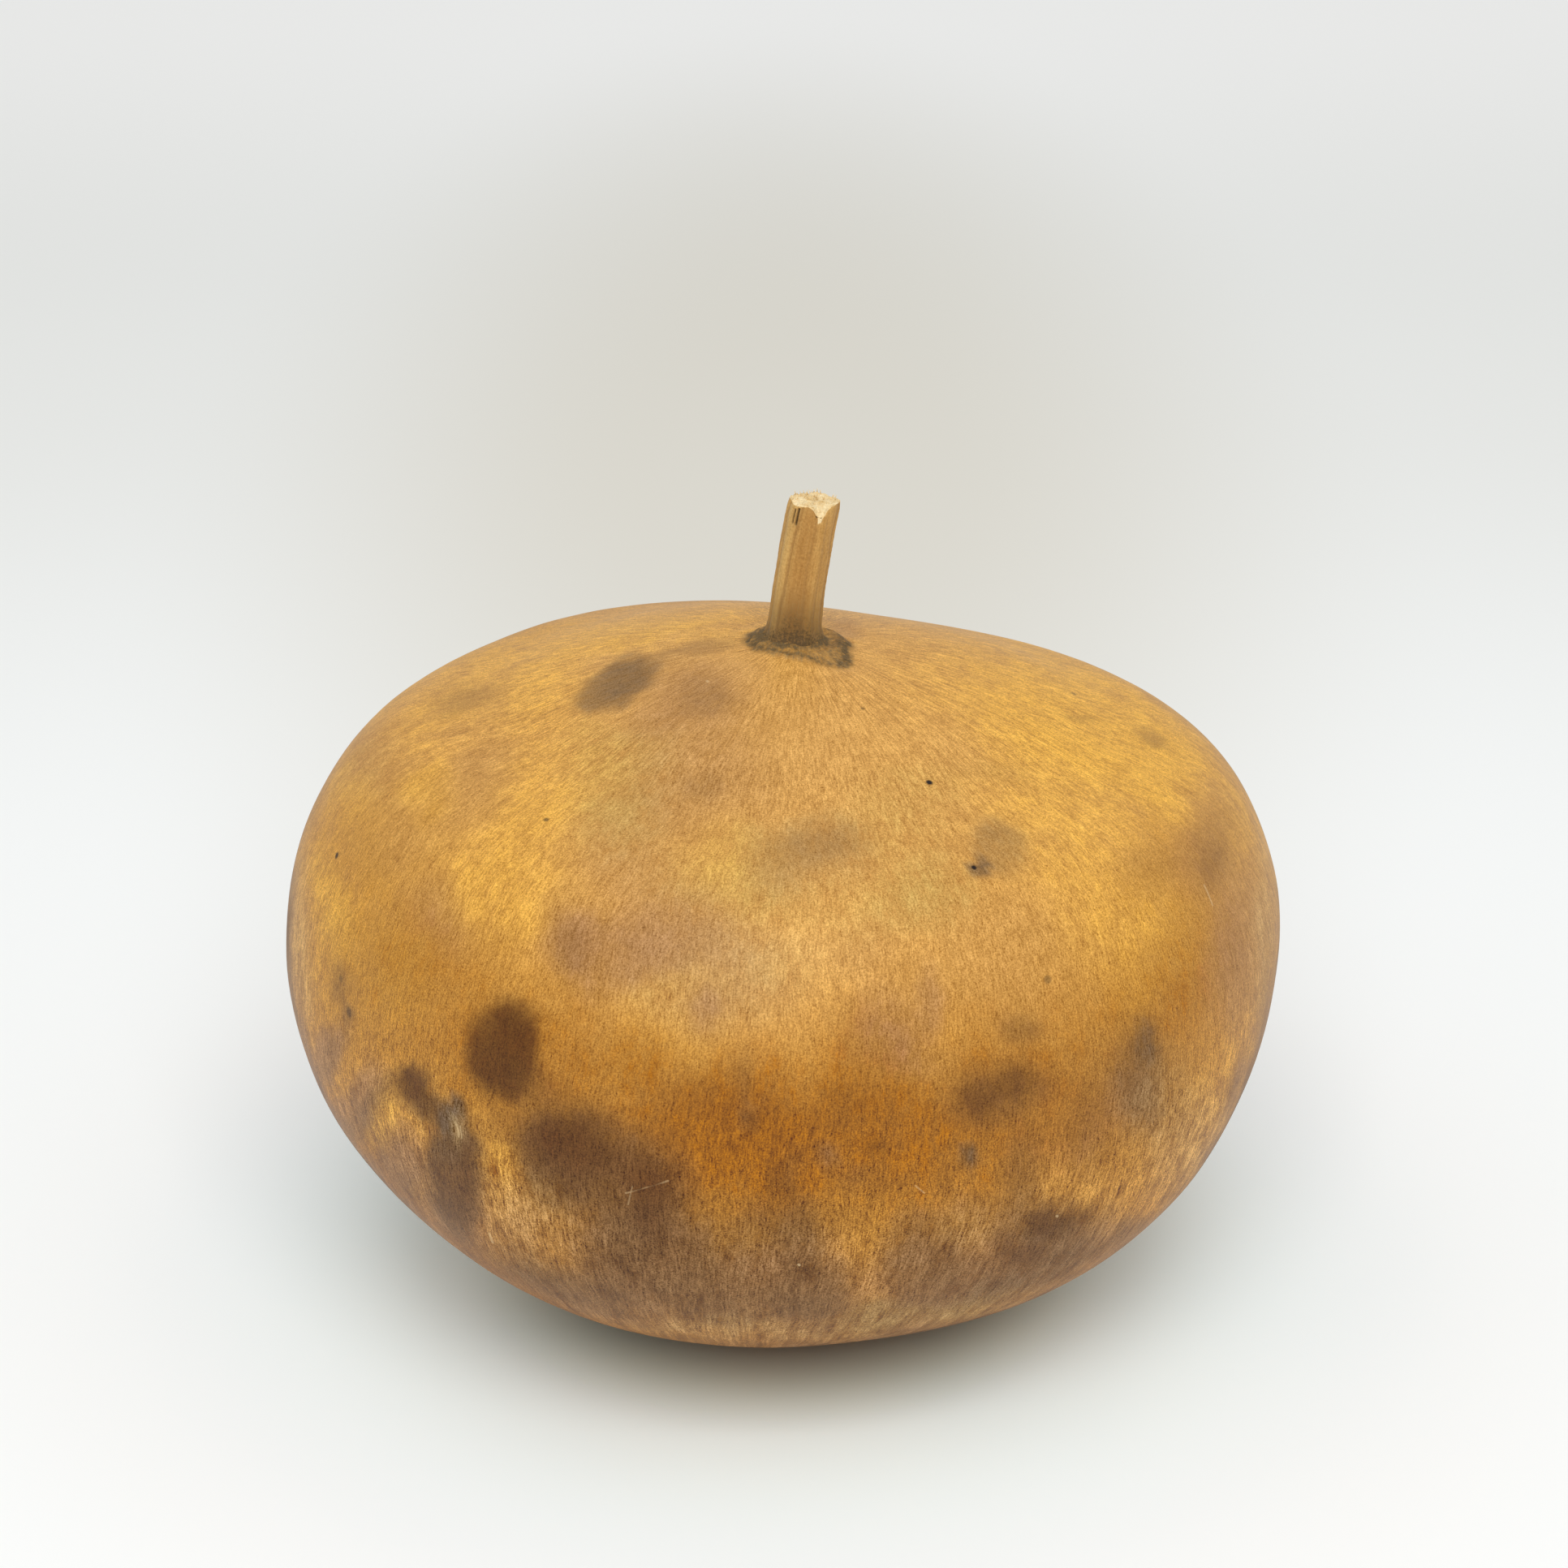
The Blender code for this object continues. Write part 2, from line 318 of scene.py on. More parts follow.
        Mark(900, 1640, 90, 10, -3, 0.20, 0.70),
        Mark(1120, 1634, 120, 10, 6, 0.16, 0.70),
        # The painted sheen on the front shoulder.
        Mark(970, 1175, 80, 50, 0, 0.12, 0.80),
        Mark(1185, 1500, 34, 30, 0, 0.14, 0.70),
        Mark(660, 1500, 40, 40, -20, 0.20, 0.70),
    ),
}
WASHES = ("olive", "gold", "amber", "mauve", "pale")  # broad soft tints, whose edges wander further
LAYERS = (("umber", "brown", "mould"), ("mauve", "olive", "gold"), ("amber", "pale", "collar"))

# Small round flecks: centre and radius in the photograph's pixels, and strength.
Fleck = namedtuple("Fleck", "x y radius strength")
FLECKS = (
    Fleck(1145, 964, 4.0, 1.0),
    Fleck(1200, 1069, 3.2, 1.0),
    Fleck(673, 1010, 3.4, 0.7),
    Fleck(415, 1054, 4.0, 0.9),
    Fleck(1291, 1207, 5.0, 0.5),
    Fleck(1323, 855, 3.5, 0.5),
    Fleck(1063, 873, 2.6, 0.5),
    Fleck(420, 1206, 4.5, 0.4),
    Fleck(430, 1248, 6.0, 0.5),
)

# Small dents and swellings: centre and half sizes in the photograph's pixels, lean in degrees, and height.
Dent = namedtuple("Dent", "x y wide tall lean lift")
DENTS = (
    Dent(556, 1371, 22, 32, -8, 0.45 * MM),  # the healed scar
    Dent(562, 1392, 8, 16, -10, -0.60 * MM),
    Dent(621, 1296, 46, 60, 6, -0.16 * MM),
    Dent(506, 1332, 16, 18, 20, -0.22 * MM),
    Dent(1203, 1071, 16, 14, 0, -0.40 * MM),
    Dent(1198, 1428, 12, 13, 0, -0.22 * MM),
    Dent(1407, 1526, 12, 8, 38, -0.50 * MM),
    Dent(762, 842, 54, 24, 29, -0.10 * MM),
    Dent(800, 1466, 30, 8, 12, 0.16 * MM),
)

# Pale scratches: both ends and half width in the photograph's pixels, and strength.
Scratch = namedtuple("Scratch", "x y to_x to_y width strength")
SCRATCHES = (
    Scratch(771, 1470, 823, 1455, 1.2, 0.30),
    Scratch(779, 1462, 774, 1484, 1.0, 0.22),
    Scratch(1484, 1091, 1494, 1115, 1.6, 0.40),
    Scratch(1128, 1461, 1139, 1470, 1.0, 0.30),
    Scratch(603, 1520, 607, 1531, 1.8, 0.50),
    Scratch(984, 1558, 985, 1559, 1.5, 0.60),
    Scratch(1302, 1498, 1303, 1499, 1.5, 0.50),
    Scratch(562, 1384, 565, 1400, 1.8, 0.44),
    Scratch(567, 1388, 569, 1402, 1.4, 0.44),
    Scratch(871, 839, 872, 840, 1.8, 0.40),
)


def shade(red, green, blue):
    """A colour as it shows on screen, from 0 to 255, as the shader's linear values."""
    return tuple(
        (part / 255.0 / 12.92) if part <= 10 else ((part / 255.0 + 0.055) / 1.055) ** 2.4
        for part in (red, green, blue)
    )


# Lighter near the stem and darker below the girth: partly the skin's own tone, partly painted light and
# shade.
STRAW = shade(205, 152, 76)  # the skin near the stem
OCHRE = shade(196, 138, 52)  # the skin at the girth
RUSSET = shade(168, 109, 38)  # the skin below it
PIGMENTS = {
    "olive": shade(184, 144, 72),
    "gold": shade(223, 166, 62),
    "amber": shade(146, 86, 6),
    "mauve": shade(156, 111, 68),
    "brown": shade(112, 77, 40),
    "mould": shade(100, 78, 56),
    "umber": shade(80, 42, 8),
    # Partly the skin's own tan, partly painted sheen and reflected light.
    "pale": shade(212, 172, 108),
    "collar": shade(100, 80, 50),
}
DARK_FLECK = shade(34, 22, 14)
PALE_SCRATCH = shade(222, 190, 140)

# How much the grain frays the edge of a stain. A pigment that isn't named here is frayed in full.
EDGE_WEAR = {"umber": 0.6, "mould": 0.5, "brown": 0.5, "mauve": 0.4, "pale": 0.2, "gold": 0.5}

# The scar of the flower under the fruit, opposite the stem: its place, and the half width, strength and
# colour of its brown ring and of its dark pit.
BLOSSOM_SCAR = Vector((-4.57, -1.56, 0.0)) * MM
BLOSSOM_RING = (5.0 * MM, 0.6, shade(120, 84, 44))
BLOSSOM_PIT = (1.6 * MM, 0.9, DARK_FLECK)


class Signal:
    """An output of a finish's node. Arithmetic on it adds Math nodes."""

    def __init__(self, finish, socket):
        self.finish = finish
        self.socket = socket

    def maths(self, operation, *values):
        return self.finish.node("ShaderNodeMath", {"operation": operation}, dict(enumerate(values)))

    def __add__(self, other):
        return self.maths("ADD", self, other)

    def __sub__(self, other):
        return self.maths("SUBTRACT", self, other)

    def __rsub__(self, other):
        return self.maths("SUBTRACT", other, self)

    def __mul__(self, other):
        return self.maths("MULTIPLY", self, other)

    def __truediv__(self, other):
        return self.maths("DIVIDE", self, other)

    __radd__ = __add__
    __rmul__ = __mul__

    def log2(self):
        return self.maths("LOGARITHM", self, 2.0)

    def absolute(self):
        return self.maths("ABSOLUTE", self)

    def clamped(self):
        return self.finish.node("ShaderNodeClamp", {}, {"Value": self})

    def eased(self, low, high):
        """Nought below low and one above high, with a smooth step between them."""
        ends = {"Value": self, "From Min": low, "From Max": high}
        return self.finish.node("ShaderNodeMapRange", {"interpolation_type": "SMOOTHSTEP"}, ends)


class Finish:
    """A material whose nodes are written as expressions."""

    def __init__(self, name):
        self.material = bpy.data.materials.new(name)
        self.material.use_nodes = True
        self.tree = self.material.node_tree
        self.shader = self.tree.nodes["Principled BSDF"]

    def node(self, kind, settings, sockets, output=0):
        """Adds a node, gives it its settings, then the values or links of its sockets."""
        made = self.tree.nodes.new(kind)
        for name, value in settings.items():
            setattr(made, name, value)
        for name, value in sockets.items():
            self.feed(made.inputs[name], value)
        return Signal(self, made.outputs[output])

    def feed(self, socket, value):
        """Links a signal to a socket, or sets the socket's own value."""
        if isinstance(value, Signal):
            self.tree.links.new(value.socket, socket)
        elif isinstance(value, tuple) and socket.type == "RGBA":
            socket.default_value = (*value, 1.0)
        else:
            socket.default_value = value

    def attribute(self, name):
        return self.node("ShaderNodeAttribute", {"attribute_name": name}, {}, "Vector")

    def parts(self, vector):
        """The three values of a vector."""
        node = self.tree.nodes.new("ShaderNodeSeparateXYZ")
        self.feed(node.inputs[0], vector)
        return [Signal(self, socket) for socket in node.outputs]

    def vector_maths(self, operation, sockets, output=0):
        return self.node("ShaderNodeVectorMath", {"operation": operation}, sockets, output)

    def scaled(self, vector, factors):
        """A vector with each of its values multiplied by its own factor."""
        return self.vector_maths("MULTIPLY", {0: vector, 1: factors})

    def stretched(self, vector, factor):
        """A vector with all of its values multiplied by one factor."""
        return self.vector_maths("SCALE", {0: vector, "Scale": factor})

    def shifted(self, vector, shift):
        return self.vector_maths("ADD", {0: vector, 1: shift})

    def length(self, vector):
        return self.vector_maths("LENGTH", {0: vector}, "Value")

    def noise(self, vector, scale, detail, roughness):
        """Noise between -0.5 and 0.5."""
        sockets = {"Vector": vector, "Scale": scale, "Detail": detail, "Roughness": roughness}
        return self.node("ShaderNodeTexNoise", {}, sockets, "Fac") - 0.5

    def drift(self, place, size, reach):
        """A soft sideways shift that changes over that size."""
        wander = self.node("ShaderNodeTexNoise", {}, {"Vector": place, "Scale": 1.0 / size}, "Color")
        return self.scaled(self.shifted(wander, (-0.5, -0.5, -0.5)), (reach, reach, 0.0))

    def mix(self, share, below, above):
        """The colour below where the share is nought, and the colour above where it is one."""
        return self.node("ShaderNodeMix", {"data_type": "RGBA"}, {0: share, 6: below, 7: above}, 2)

    def away_from(self, place, start, end):
        """How far a place lies from a straight line between two points."""
        from_start = self.shifted(place, tuple(-start))
        line = end - start
        if line.length == 0.0:
            return self.length(from_start)
        along = tuple(line / line.length_squared)
        share = self.vector_maths("DOT_PRODUCT", {0: from_start, 1: along}, "Value").clamped()
        return self.length(self.shifted(from_start, self.stretched(tuple(-line), share)))

    def toned(self, colour, value, depths):
        """A colour made lighter and darker by a value, by its own depth in red, green and blue."""
        return self.scaled(colour, self.shifted(self.stretched(depths, value), (1.0, 1.0, 1.0)))

    def place(self):
        return self.node("ShaderNodeTexCoord", {}, {}, "Object")


def smoothed(values, low, high):
    """Nought below low and one above high, with a smooth step between them, for arrays."""
    share = np.clip((values - low) / (high - low), 0.0, 1.0)
    return share * share * (3.0 - 2.0 * share)


def camera_place():
    """Where the camera stands and how it is turned."""
    back = Vector((0.0, -math.cos(CAMERA_ELEVATION), math.sin(CAMERA_ELEVATION)))
    place = MIDDLE + CAMERA_DISTANCE * back
    turn = Matrix.Rotation(math.pi / 2.0 - CAMERA_DIP, 4, "X")
    return Matrix.Translation(place) @ turn


VIEWPOINT = camera_place()


def make_camera():
    data = bpy.data.cameras.new("viewpoint")
    data.sensor_width = SENSOR
    data.lens = FOCAL_PIXELS * SENSOR / PHOTO_SIDE
    data.clip_start = NEAREST
    camera = bpy.data.objects.new("viewpoint", data)
    camera.matrix_world = VIEWPOINT
    bpy.context.scene.collection.objects.link(camera)
    bpy.context.scene.camera = camera


def photo_pixels(points):
    """Where points, as rows, lie in the photograph."""
    turn = np.array(VIEWPOINT.to_3x3())
    local = (points - np.array(VIEWPOINT.translation)) @ turn
    x = PHOTO_SIDE / 2.0 + FOCAL_PIXELS * local[:, 0] / -local[:, 2]
    y = PHOTO_SIDE / 2.0 - FOCAL_PIXELS * local[:, 1] / -local[:, 2]
    return x, y


def photo_ray(x, y):
    """The direction from the camera through a pixel of the photograph."""
    half = PHOTO_SIDE / 2.0
    return (VIEWPOINT.to_3x3() @ Vector((x - half, half - y, -FOCAL_PIXELS))).normalized()


def add_object(name, mesh):
    obj = bpy.data.objects.new(name, mesh)
    bpy.context.scene.collection.objects.link(obj)
    return obj


def mesh_from(shape, name):
    """Writes a bmesh out as a smooth-shaded mesh."""
    for face in shape.faces:
        face.smooth = True
    mesh = bpy.data.meshes.new(name)
    shape.to_mesh(mesh)
    shape.free()
    return mesh


def ring_flat_end(shape, facing, flatness, rings):
    """Gives the flat end that faces one way evenly spaced rings of faces, and a fan about its middle."""
    flat = [face for face in shape.faces if face.normal.dot(facing) > flatness]
    whole = bmesh.ops.dissolve_faces(shape, faces=flat)["region"]
    middle = Matrix.Translation(-whole[0].calc_center_median())
    for ring in range(rings):
        bmesh.ops.inset_region(shape, faces=whole, thickness=0.0)
        inward = (rings - ring) / (rings + 1 - ring)
        bmesh.ops.scale(shape, vec=(inward, inward, inward), space=middle, verts=whole[0].verts)
    bmesh.ops.poke(shape, faces=whole)


MERGE_WITHIN = 0.02 * MM
FOLD_LIMIT = math.radians(40)  # triangles that meet at a sharper fold than this aren't joined
SKEW_LIMIT = math.radians(60)


def fine_copy(node, name, flat_ends, levels):
    """A copy of a CAD node's mesh, merged into four-sided faces and subdivided."""
    shape = bmesh.new()
    shape.from_mesh(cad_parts[node].data)
    bmesh.ops.remove_doubles(shape, verts=shape.verts, dist=MERGE_WITHIN)
    shape.normal_update()
    for facing, flatness, rings in flat_ends:
        ring_flat_end(shape, facing, flatness, rings)
    limits = {"angle_face_threshold": FOLD_LIMIT, "angle_shape_threshold": SKEW_LIMIT}
    bmesh.ops.join_triangles(shape, faces=shape.faces, **limits)
    coarse = add_object(name, mesh_from(shape, name))
    skin = coarse.modifiers.new("Fine skin", "SUBSURF")
    skin.levels = levels
    skin.render_levels = levels
    graph = bpy.context.evaluated_depsgraph_get()
    mesh = bpy.data.meshes.new_from_object(coarse.evaluated_get(graph))
    mesh.name = name
    coarse.modifiers.clear()
    coarse.data = mesh
    return coarse


def points_of(mesh):
    points = np.empty(len(mesh.vertices) * 3)
    mesh.vertices.foreach_get("co", points)
    return points.reshape(-1, 3)


def normals_of(mesh):
    normals = np.empty(len(mesh.vertices) * 3)
    mesh.vertices.foreach_get("normal", normals)
    return normals.reshape(-1, 3)


def put_points(mesh, points):
    mesh.vertices.foreach_set("co", np.ascontiguousarray(points).ravel())
    mesh.update()


def put_values(mesh, name, *values):
    """Stores up to three values a vertex for the finish to read."""
    vectors = np.zeros((len(mesh.vertices), 3), dtype=np.float32)
    for column, value in enumerate(values):
        vectors[:, column] = value
    layer = mesh.attributes.new(name, "FLOAT_VECTOR", "POINT")
    layer.data.foreach_set("vector", vectors.ravel())


def crown_pole(mesh):
    """The point where the meridians meet under the stem."""
    spokes = np.zeros(len(mesh.vertices), int)
    ends = np.empty(len(mesh.edges) * 2, int)
    mesh.edges.foreach_get("vertices", ends)
    np.add.at(spokes, ends, 1)
    points = points_of(mesh)
    spokes[points[:, 2] < MIDDLE.z] = 0
    return Vector(points[int(np.argmax(spokes))])


def grown(points, pole):
    """Angle round the fruit's own axis, distance from it and depth below the crown, for each point."""
    own = (points - np.array(pole)) @ np.array(TIP)
    angle = np.arctan2(own[:, 1], own[:, 0])
    spread = np.hypot(own[:, 0], own[:, 1])
    return angle, spread, -own[:, 2]


SEED_STEPS = (3.7, 1.3, 7.1)  # how far the noise of one seed lies from that of the next


def rough(points, size, seed):
    """Soft noise from -1 to 1 with bumps of about that size."""
    shift = Vector([seed * step for step in SEED_STEPS])
    return np.array([noise.noise(Vector(point) / size + shift) for point in points])


def roughened(values, points, waves):
    """Values with soft noise added in waves, each given by how far it reaches, its size and its seed."""
    for reach, size, seed in waves:
        values = values + reach * rough(points, size, seed)
    return values


# The corky collar round the stem, with its distances measured from the fruit's axis.
COLLAR_RIM = 9.3 * MM
COLLAR_RING = (7.6 * MM, 1.2 * MM, 0.30 * MM)  # how far out its low ring is, its half width and its height
COLLAR_MOAT = (0.9 * MM, 0.20 * MM)  # the half width and depth of the groove at its rim
COLLAR_ZONE = (16 * MM, 20 * MM)  # nothing of it lies further out or deeper than this
STEM_SHIFT = 1.1 * MM  # how far the stem's foot stands off the fruit's axis towards -X

# The neck of cork on the stem's foot: how high it climbs, and how far from the stem's middle it starts to
# fall and has fallen back to the crown.
NECK_HEIGHT = 1.3 * MM
NECK_FALL = (5.0 * MM, 7.6 * MM)

# How strongly the cork colours the collar all over, at its rim and next to the stem.
CORK_ALL_OVER = 0.30
CORK_AT_RIM = 0.36
CORK_AT_STEM = 0.50

# Waves in the collar's rim: how far each reaches, how many go round, and where it starts.
RIM_WAVES = ((0.25 * MM, 7, 1.0), (0.15 * MM, 12, 0.0))

# Tongues where the collar runs out further: the way each faces, its half width in degrees and its length.
COLLAR_TONGUES = ((-48, 24, 4.2 * MM), (182, 30, 1.0 * MM), (5, 24, 0.7 * MM), (95, 40, 1.8 * MM))

# Darker sides of the collar: the way each faces, its half width in degrees, and its strength.
COLLAR_SHADES = ((186, 34, 0.30), (345, 34, 0.36))


def bump(distance, centre, width):
    return np.exp(-(((distance - centre) / width) ** 2))


def turned_from(angle, facing):
    """How far an angle lies from a facing given in degrees, in degrees and the short way round."""
    return (np.degrees(angle) - facing + 180.0) % 360.0 - 180.0


def faced(angle, facing, half_width):
    """One at the facing given, and less on either side of it."""
    return bump(turned_from(angle, facing), 0.0, half_width)


def collar_reach(angle):
    """How far the collar's stain reaches from the axis."""
    reach = COLLAR_RIM
    for height, waves, start in RIM_WAVES:
        reach = reach + height * np.sin(waves * angle + start)
    for facing, half_width, length in COLLAR_TONGUES:
        reach = reach + length * faced(angle, facing, half_width)
    return reach


def off_oval(x, y, oval):
    """How far each point lies from an oval's centre, where one is its edge."""
    lean = math.radians(oval.lean)
    across = (x - oval.x) * math.cos(lean) - (y - oval.y) * math.sin(lean)
    along = (x - oval.x) * math.sin(lean) + (y - oval.y) * math.cos(lean)
    return np.hypot(across / oval.wide, along / oval.tall)


def squareness(points, normals):
    """How squarely each point of the skin faces the camera: one straight on, nought at the outline."""
    towards = np.array(VIEWPOINT.translation) - points
    towards /= np.linalg.norm(towards, axis=1)[:, None]
    return np.sum(normals * towards, axis=1)


# Towards the outline the placed marks end. They are whole where the skin faces the camera this squarely, a
# wave makes their end uneven, and between the last two values the edges of the washes start to wander.
SEEN_WHOLE = 0.28
SEEN_ENDS = ((0.09, 12 * MM, 25),)
WANDER_SETS_IN = (0.1, 0.6)


def towards_camera(points, normals):
    """One where the photograph shows the skin, nought on the far side, and an uneven change between."""
    return smoothed(roughened(squareness(points, normals), points, SEEN_ENDS), 0.0, SEEN_WHOLE)


def stem_distance(angle, spread):
    """How far each point lies from the middle of the stem's foot."""
    return np.hypot(spread * np.cos(angle) + STEM_SHIFT, spread * np.sin(angle))


# Relief in waves: how far each reaches, its size and its seed.
SLOW_DENTS = ((0.16 * MM, 26 * MM, 3), (0.07 * MM, 11 * MM, 8))
CORK_RELIEF = ((0.20 * MM, 1.5 * MM, 5), (0.16 * MM, 0.7 * MM, 6))
FOOT_RISE = 1.5 * MM  # the relief is whole above this height, and gone on the foot


def carve_skin(mesh, pole):
    """Presses the fine relief into the skin: slow dents, the collar and its moat, and the scars."""
    points = points_of(mesh)
    normals = normals_of(mesh)
    angle, spread, depth = grown(points, pole)
    lift = roughened(0.0, points, SLOW_DENTS)
    seen = towards_camera(points, normals)
    x, y = photo_pixels(points)
    for dent in DENTS:
        lift = lift + dent.lift * seen * (1.0 - smoothed(off_oval(x, y, dent), 0.4, 1.2))
    near = np.nonzero((spread < COLLAR_ZONE[0]) & (depth < COLLAR_ZONE[1]))[0]
    from_stem = stem_distance(angle[near], spread[near])
    neck = NECK_HEIGHT * (1.0 - smoothed(from_stem, *NECK_FALL))
    cork = roughened(0.0, points[near], CORK_RELIEF)
    reach = collar_reach(angle[near])
    inside = 1.0 - smoothed(spread[near], reach - 1.2 * MM, reach + 0.6 * MM)
    ring_out, ring_width, ring_height = COLLAR_RING
    moat_width, moat_depth = COLLAR_MOAT
    ring = ring_height * bump(spread[near], ring_out, ring_width)
    moat = moat_depth * bump(spread[near], reach, moat_width)
    lift[near] += ring - moat + cork * inside + neck
    above_foot = smoothed(points[:, 2], 0.0, FOOT_RISE)
    put_points(mesh, points + normals * (lift * above_foot)[:, None])


# Waves in the edges of the marks: how far each reaches across or down the photograph, in its pixels,
# its size and its seed. The broad washes wander further.
WANDER_ACROSS = ((6.0, 9 * MM, 11), (6.0, 4 * MM, 12))
WANDER_DOWN = ((7.0, 9 * MM, 13), (8.0, 4 * MM, 14))
WASH_ACROSS = ((10.0, 30 * MM, 16),)
WASH_DOWN = ((34.0, 14 * MM, 15),)


def stained(clear, off, strength, soft):
    """The share of the skin that a stain leaves clear, where off is one at its edge."""
    return clear * (1.0 - strength * (1.0 - smoothed(off, 1.0 - soft, 1.0 + soft)))


def collar_stain(points, angle, spread, depth):
    """How strongly the cork colours each vertex."""
    reach = collar_reach(angle) + 0.5 * MM * rough(points, 2.2 * MM, 19)
    stain = CORK_ALL_OVER + CORK_AT_RIM * bump(spread, reach - 1.0 * MM, 1.2 * MM)
    for facing, half_width, strength in COLLAR_SHADES:
        stain = stain + strength * faced(angle, facing, half_width)
    stain = stain + CORK_AT_STEM * (1.0 - smoothed(stem_distance(angle, spread), 5.9 * MM, 7.2 * MM))
    within = 1.0 - smoothed(spread, reach - 1.2 * MM, reach + 1.0 * MM)
    return np.clip(stain, 0.0, 1.0) * within * (depth < COLLAR_ZONE[1])


def mark_fields(mesh, pole):
    """How strongly each pigment stains each vertex, as a dict of arrays."""
    points = points_of(mesh)
    normals = normals_of(mesh)
    angle, spread, depth = grown(points, pole)
    seen = towards_camera(points, normals)
    x, y = photo_pixels(points)
    x = roughened(x, points, WANDER_ACROSS)
    y = roughened(y, points, WANDER_DOWN)
    wander = smoothed(squareness(points, normals), *WANDER_SETS_IN)
    wash_x = x + wander * roughened(0.0, points, WASH_ACROSS)
    wash_y = y + wander * roughened(0.0, points, WASH_DOWN)
    fields = {}
    for pigment, marks in MARKS.items():
        place = (wash_x, wash_y) if pigment in WASHES else (x, y)
        clear = np.ones(len(points))
        for mark in marks:
            clear = stained(clear, off_oval(*place, mark), mark.strength, mark.soft)
        fields[pigment] = (1.0 - clear) * seen
    fields["collar"] = collar_stain(points, angle, spread, depth)
    return fields


# Stains strewn over the sides that the photograph doesn't show: how many, least and greatest half width,
# strength, softness of the edge, and how low and how high they lie, from -1 at the foot to 1 at the crown.
Strewn = namedtuple("Strewn", "pigment count smallest largest strength soft lowest highest")
STREWN = (
    Strewn("gold", 16, 12 * MM, 30 * MM, 0.7, 0.80, -0.10, 0.95),
    Strewn("amber", 8, 12 * MM, 32 * MM, 0.5, 0.70, 0.00, 0.60),
    Strewn("amber", 20, 14 * MM, 34 * MM, 0.6, 0.70, -0.70, -0.10),
    Strewn("mauve", 16, 8 * MM, 22 * MM, 0.6, 0.60, -0.50, 0.50),
    Strewn("mauve", 30, 10 * MM, 24 * MM, 0.7, 0.60, -0.98, -0.60),
    Strewn("brown", 26, 7 * MM, 22 * MM, 0.7, 0.50, -0.95, 0.30),
    Strewn("olive", 8, 10 * MM, 22 * MM, 0.5, 0.70, -0.20, 0.50),
    Strewn("umber", 12, 4 * MM, 11 * MM, 0.7, 0.40, -0.80, 0.40),
    Strewn("mould", 7, 3 * MM, 7 * MM, 0.7, 0.35, -0.80, 0.60),
)
STREWN_SEED = 41
STREWN_HEIGHT = 0.75  # heights count for this much, which makes a strewn stain taller than it is wide
FAINTEST = 0.5  # share of its strength that the faintest stain of a kind has

# What makes the stains on the hidden sides uneven: how far they are bent out of round, over what size and
# with which seeds, and the wave in their edges.
STREWN_WARP = (5.0 * MM, 14 * MM, (21, 22, 23))
STREWN_EDGE = ((0.45, 6 * MM, 24),)

# Stains that run on over the photograph's outline: the way each faces round the fruit in degrees, how
# high it lies, its half width and its strength.
OverEdge = namedtuple("OverEdge", "pigment facing rise wide strength")
OVER_EDGE = (
    OverEdge("mauve", 191, -0.24, 14 * MM, 0.70),
    OverEdge("mauve", 198, -0.38, 15 * MM, 0.80),
    OverEdge("mauve", 207, -0.50, 15 * MM, 0.80),
    OverEdge("mauve", 217, -0.61, 15 * MM, 0.70),
    OverEdge("brown", 196, -0.34, 9 * MM, 0.44),
    OverEdge("brown", 205, -0.47, 11 * MM, 0.50),
)
OVER_EDGE_SOFT = 0.5


def off_place(points, turn, rise):
    """How far points lie from a place on the skin, given by the way it faces and how high it lies."""
    flat = GIRTH_RADIUS * math.sqrt(1.0 - rise * rise)
    place = np.array(MIDDLE) + np.array((flat * math.cos(turn), flat * math.sin(turn), MIDDLE.z * rise))
    return np.linalg.norm((points - place) * np.array((1.0, 1.0, STREWN_HEIGHT)), axis=1)


def hidden_marks(mesh, fields):
    """Adds stains of the same kinds on the sides that the photograph doesn't show."""
    chance = random.Random(STREWN_SEED)
    points = points_of(mesh)
    hidden = 1.0 - towards_camera(points, normals_of(mesh))
    reach, size, seeds = STREWN_WARP
    warped = points + reach * np.stack([rough(points, size, seed) for seed in seeds], axis=1)
    torn = roughened(0.0, points, STREWN_EDGE)
    for kind in STREWN:
        clear = np.ones(len(points))
        for _ in range(kind.count):
            turn = chance.uniform(0.0, 2.0 * math.pi)
            rise = chance.uniform(kind.lowest, kind.highest)
            wide = chance.uniform(kind.smallest, kind.largest)
            strength = kind.strength * chance.uniform(FAINTEST, 1.0)
            clear = stained(clear, off_place(warped, turn, rise) / wide + torn, strength, kind.soft)
        fields[kind.pigment] = 1.0 - (1.0 - fields[kind.pigment]) * (1.0 - (1.0 - clear) * hidden)
    for stain in OVER_EDGE:
        off = off_place(warped, math.radians(stain.facing), stain.rise) / stain.wide + torn
        clear = stained(1.0 - fields[stain.pigment], off, stain.strength * hidden, OVER_EDGE_SOFT)
        fields[stain.pigment] = 1.0 - clear


def surface_of(obj):
    """A piece's surface, for finding where a straight line meets it."""
    shape = bmesh.new()
    shape.from_mesh(obj.data)
    tree = BVHTree.FromBMesh(shape)
    shape.free()
    return tree


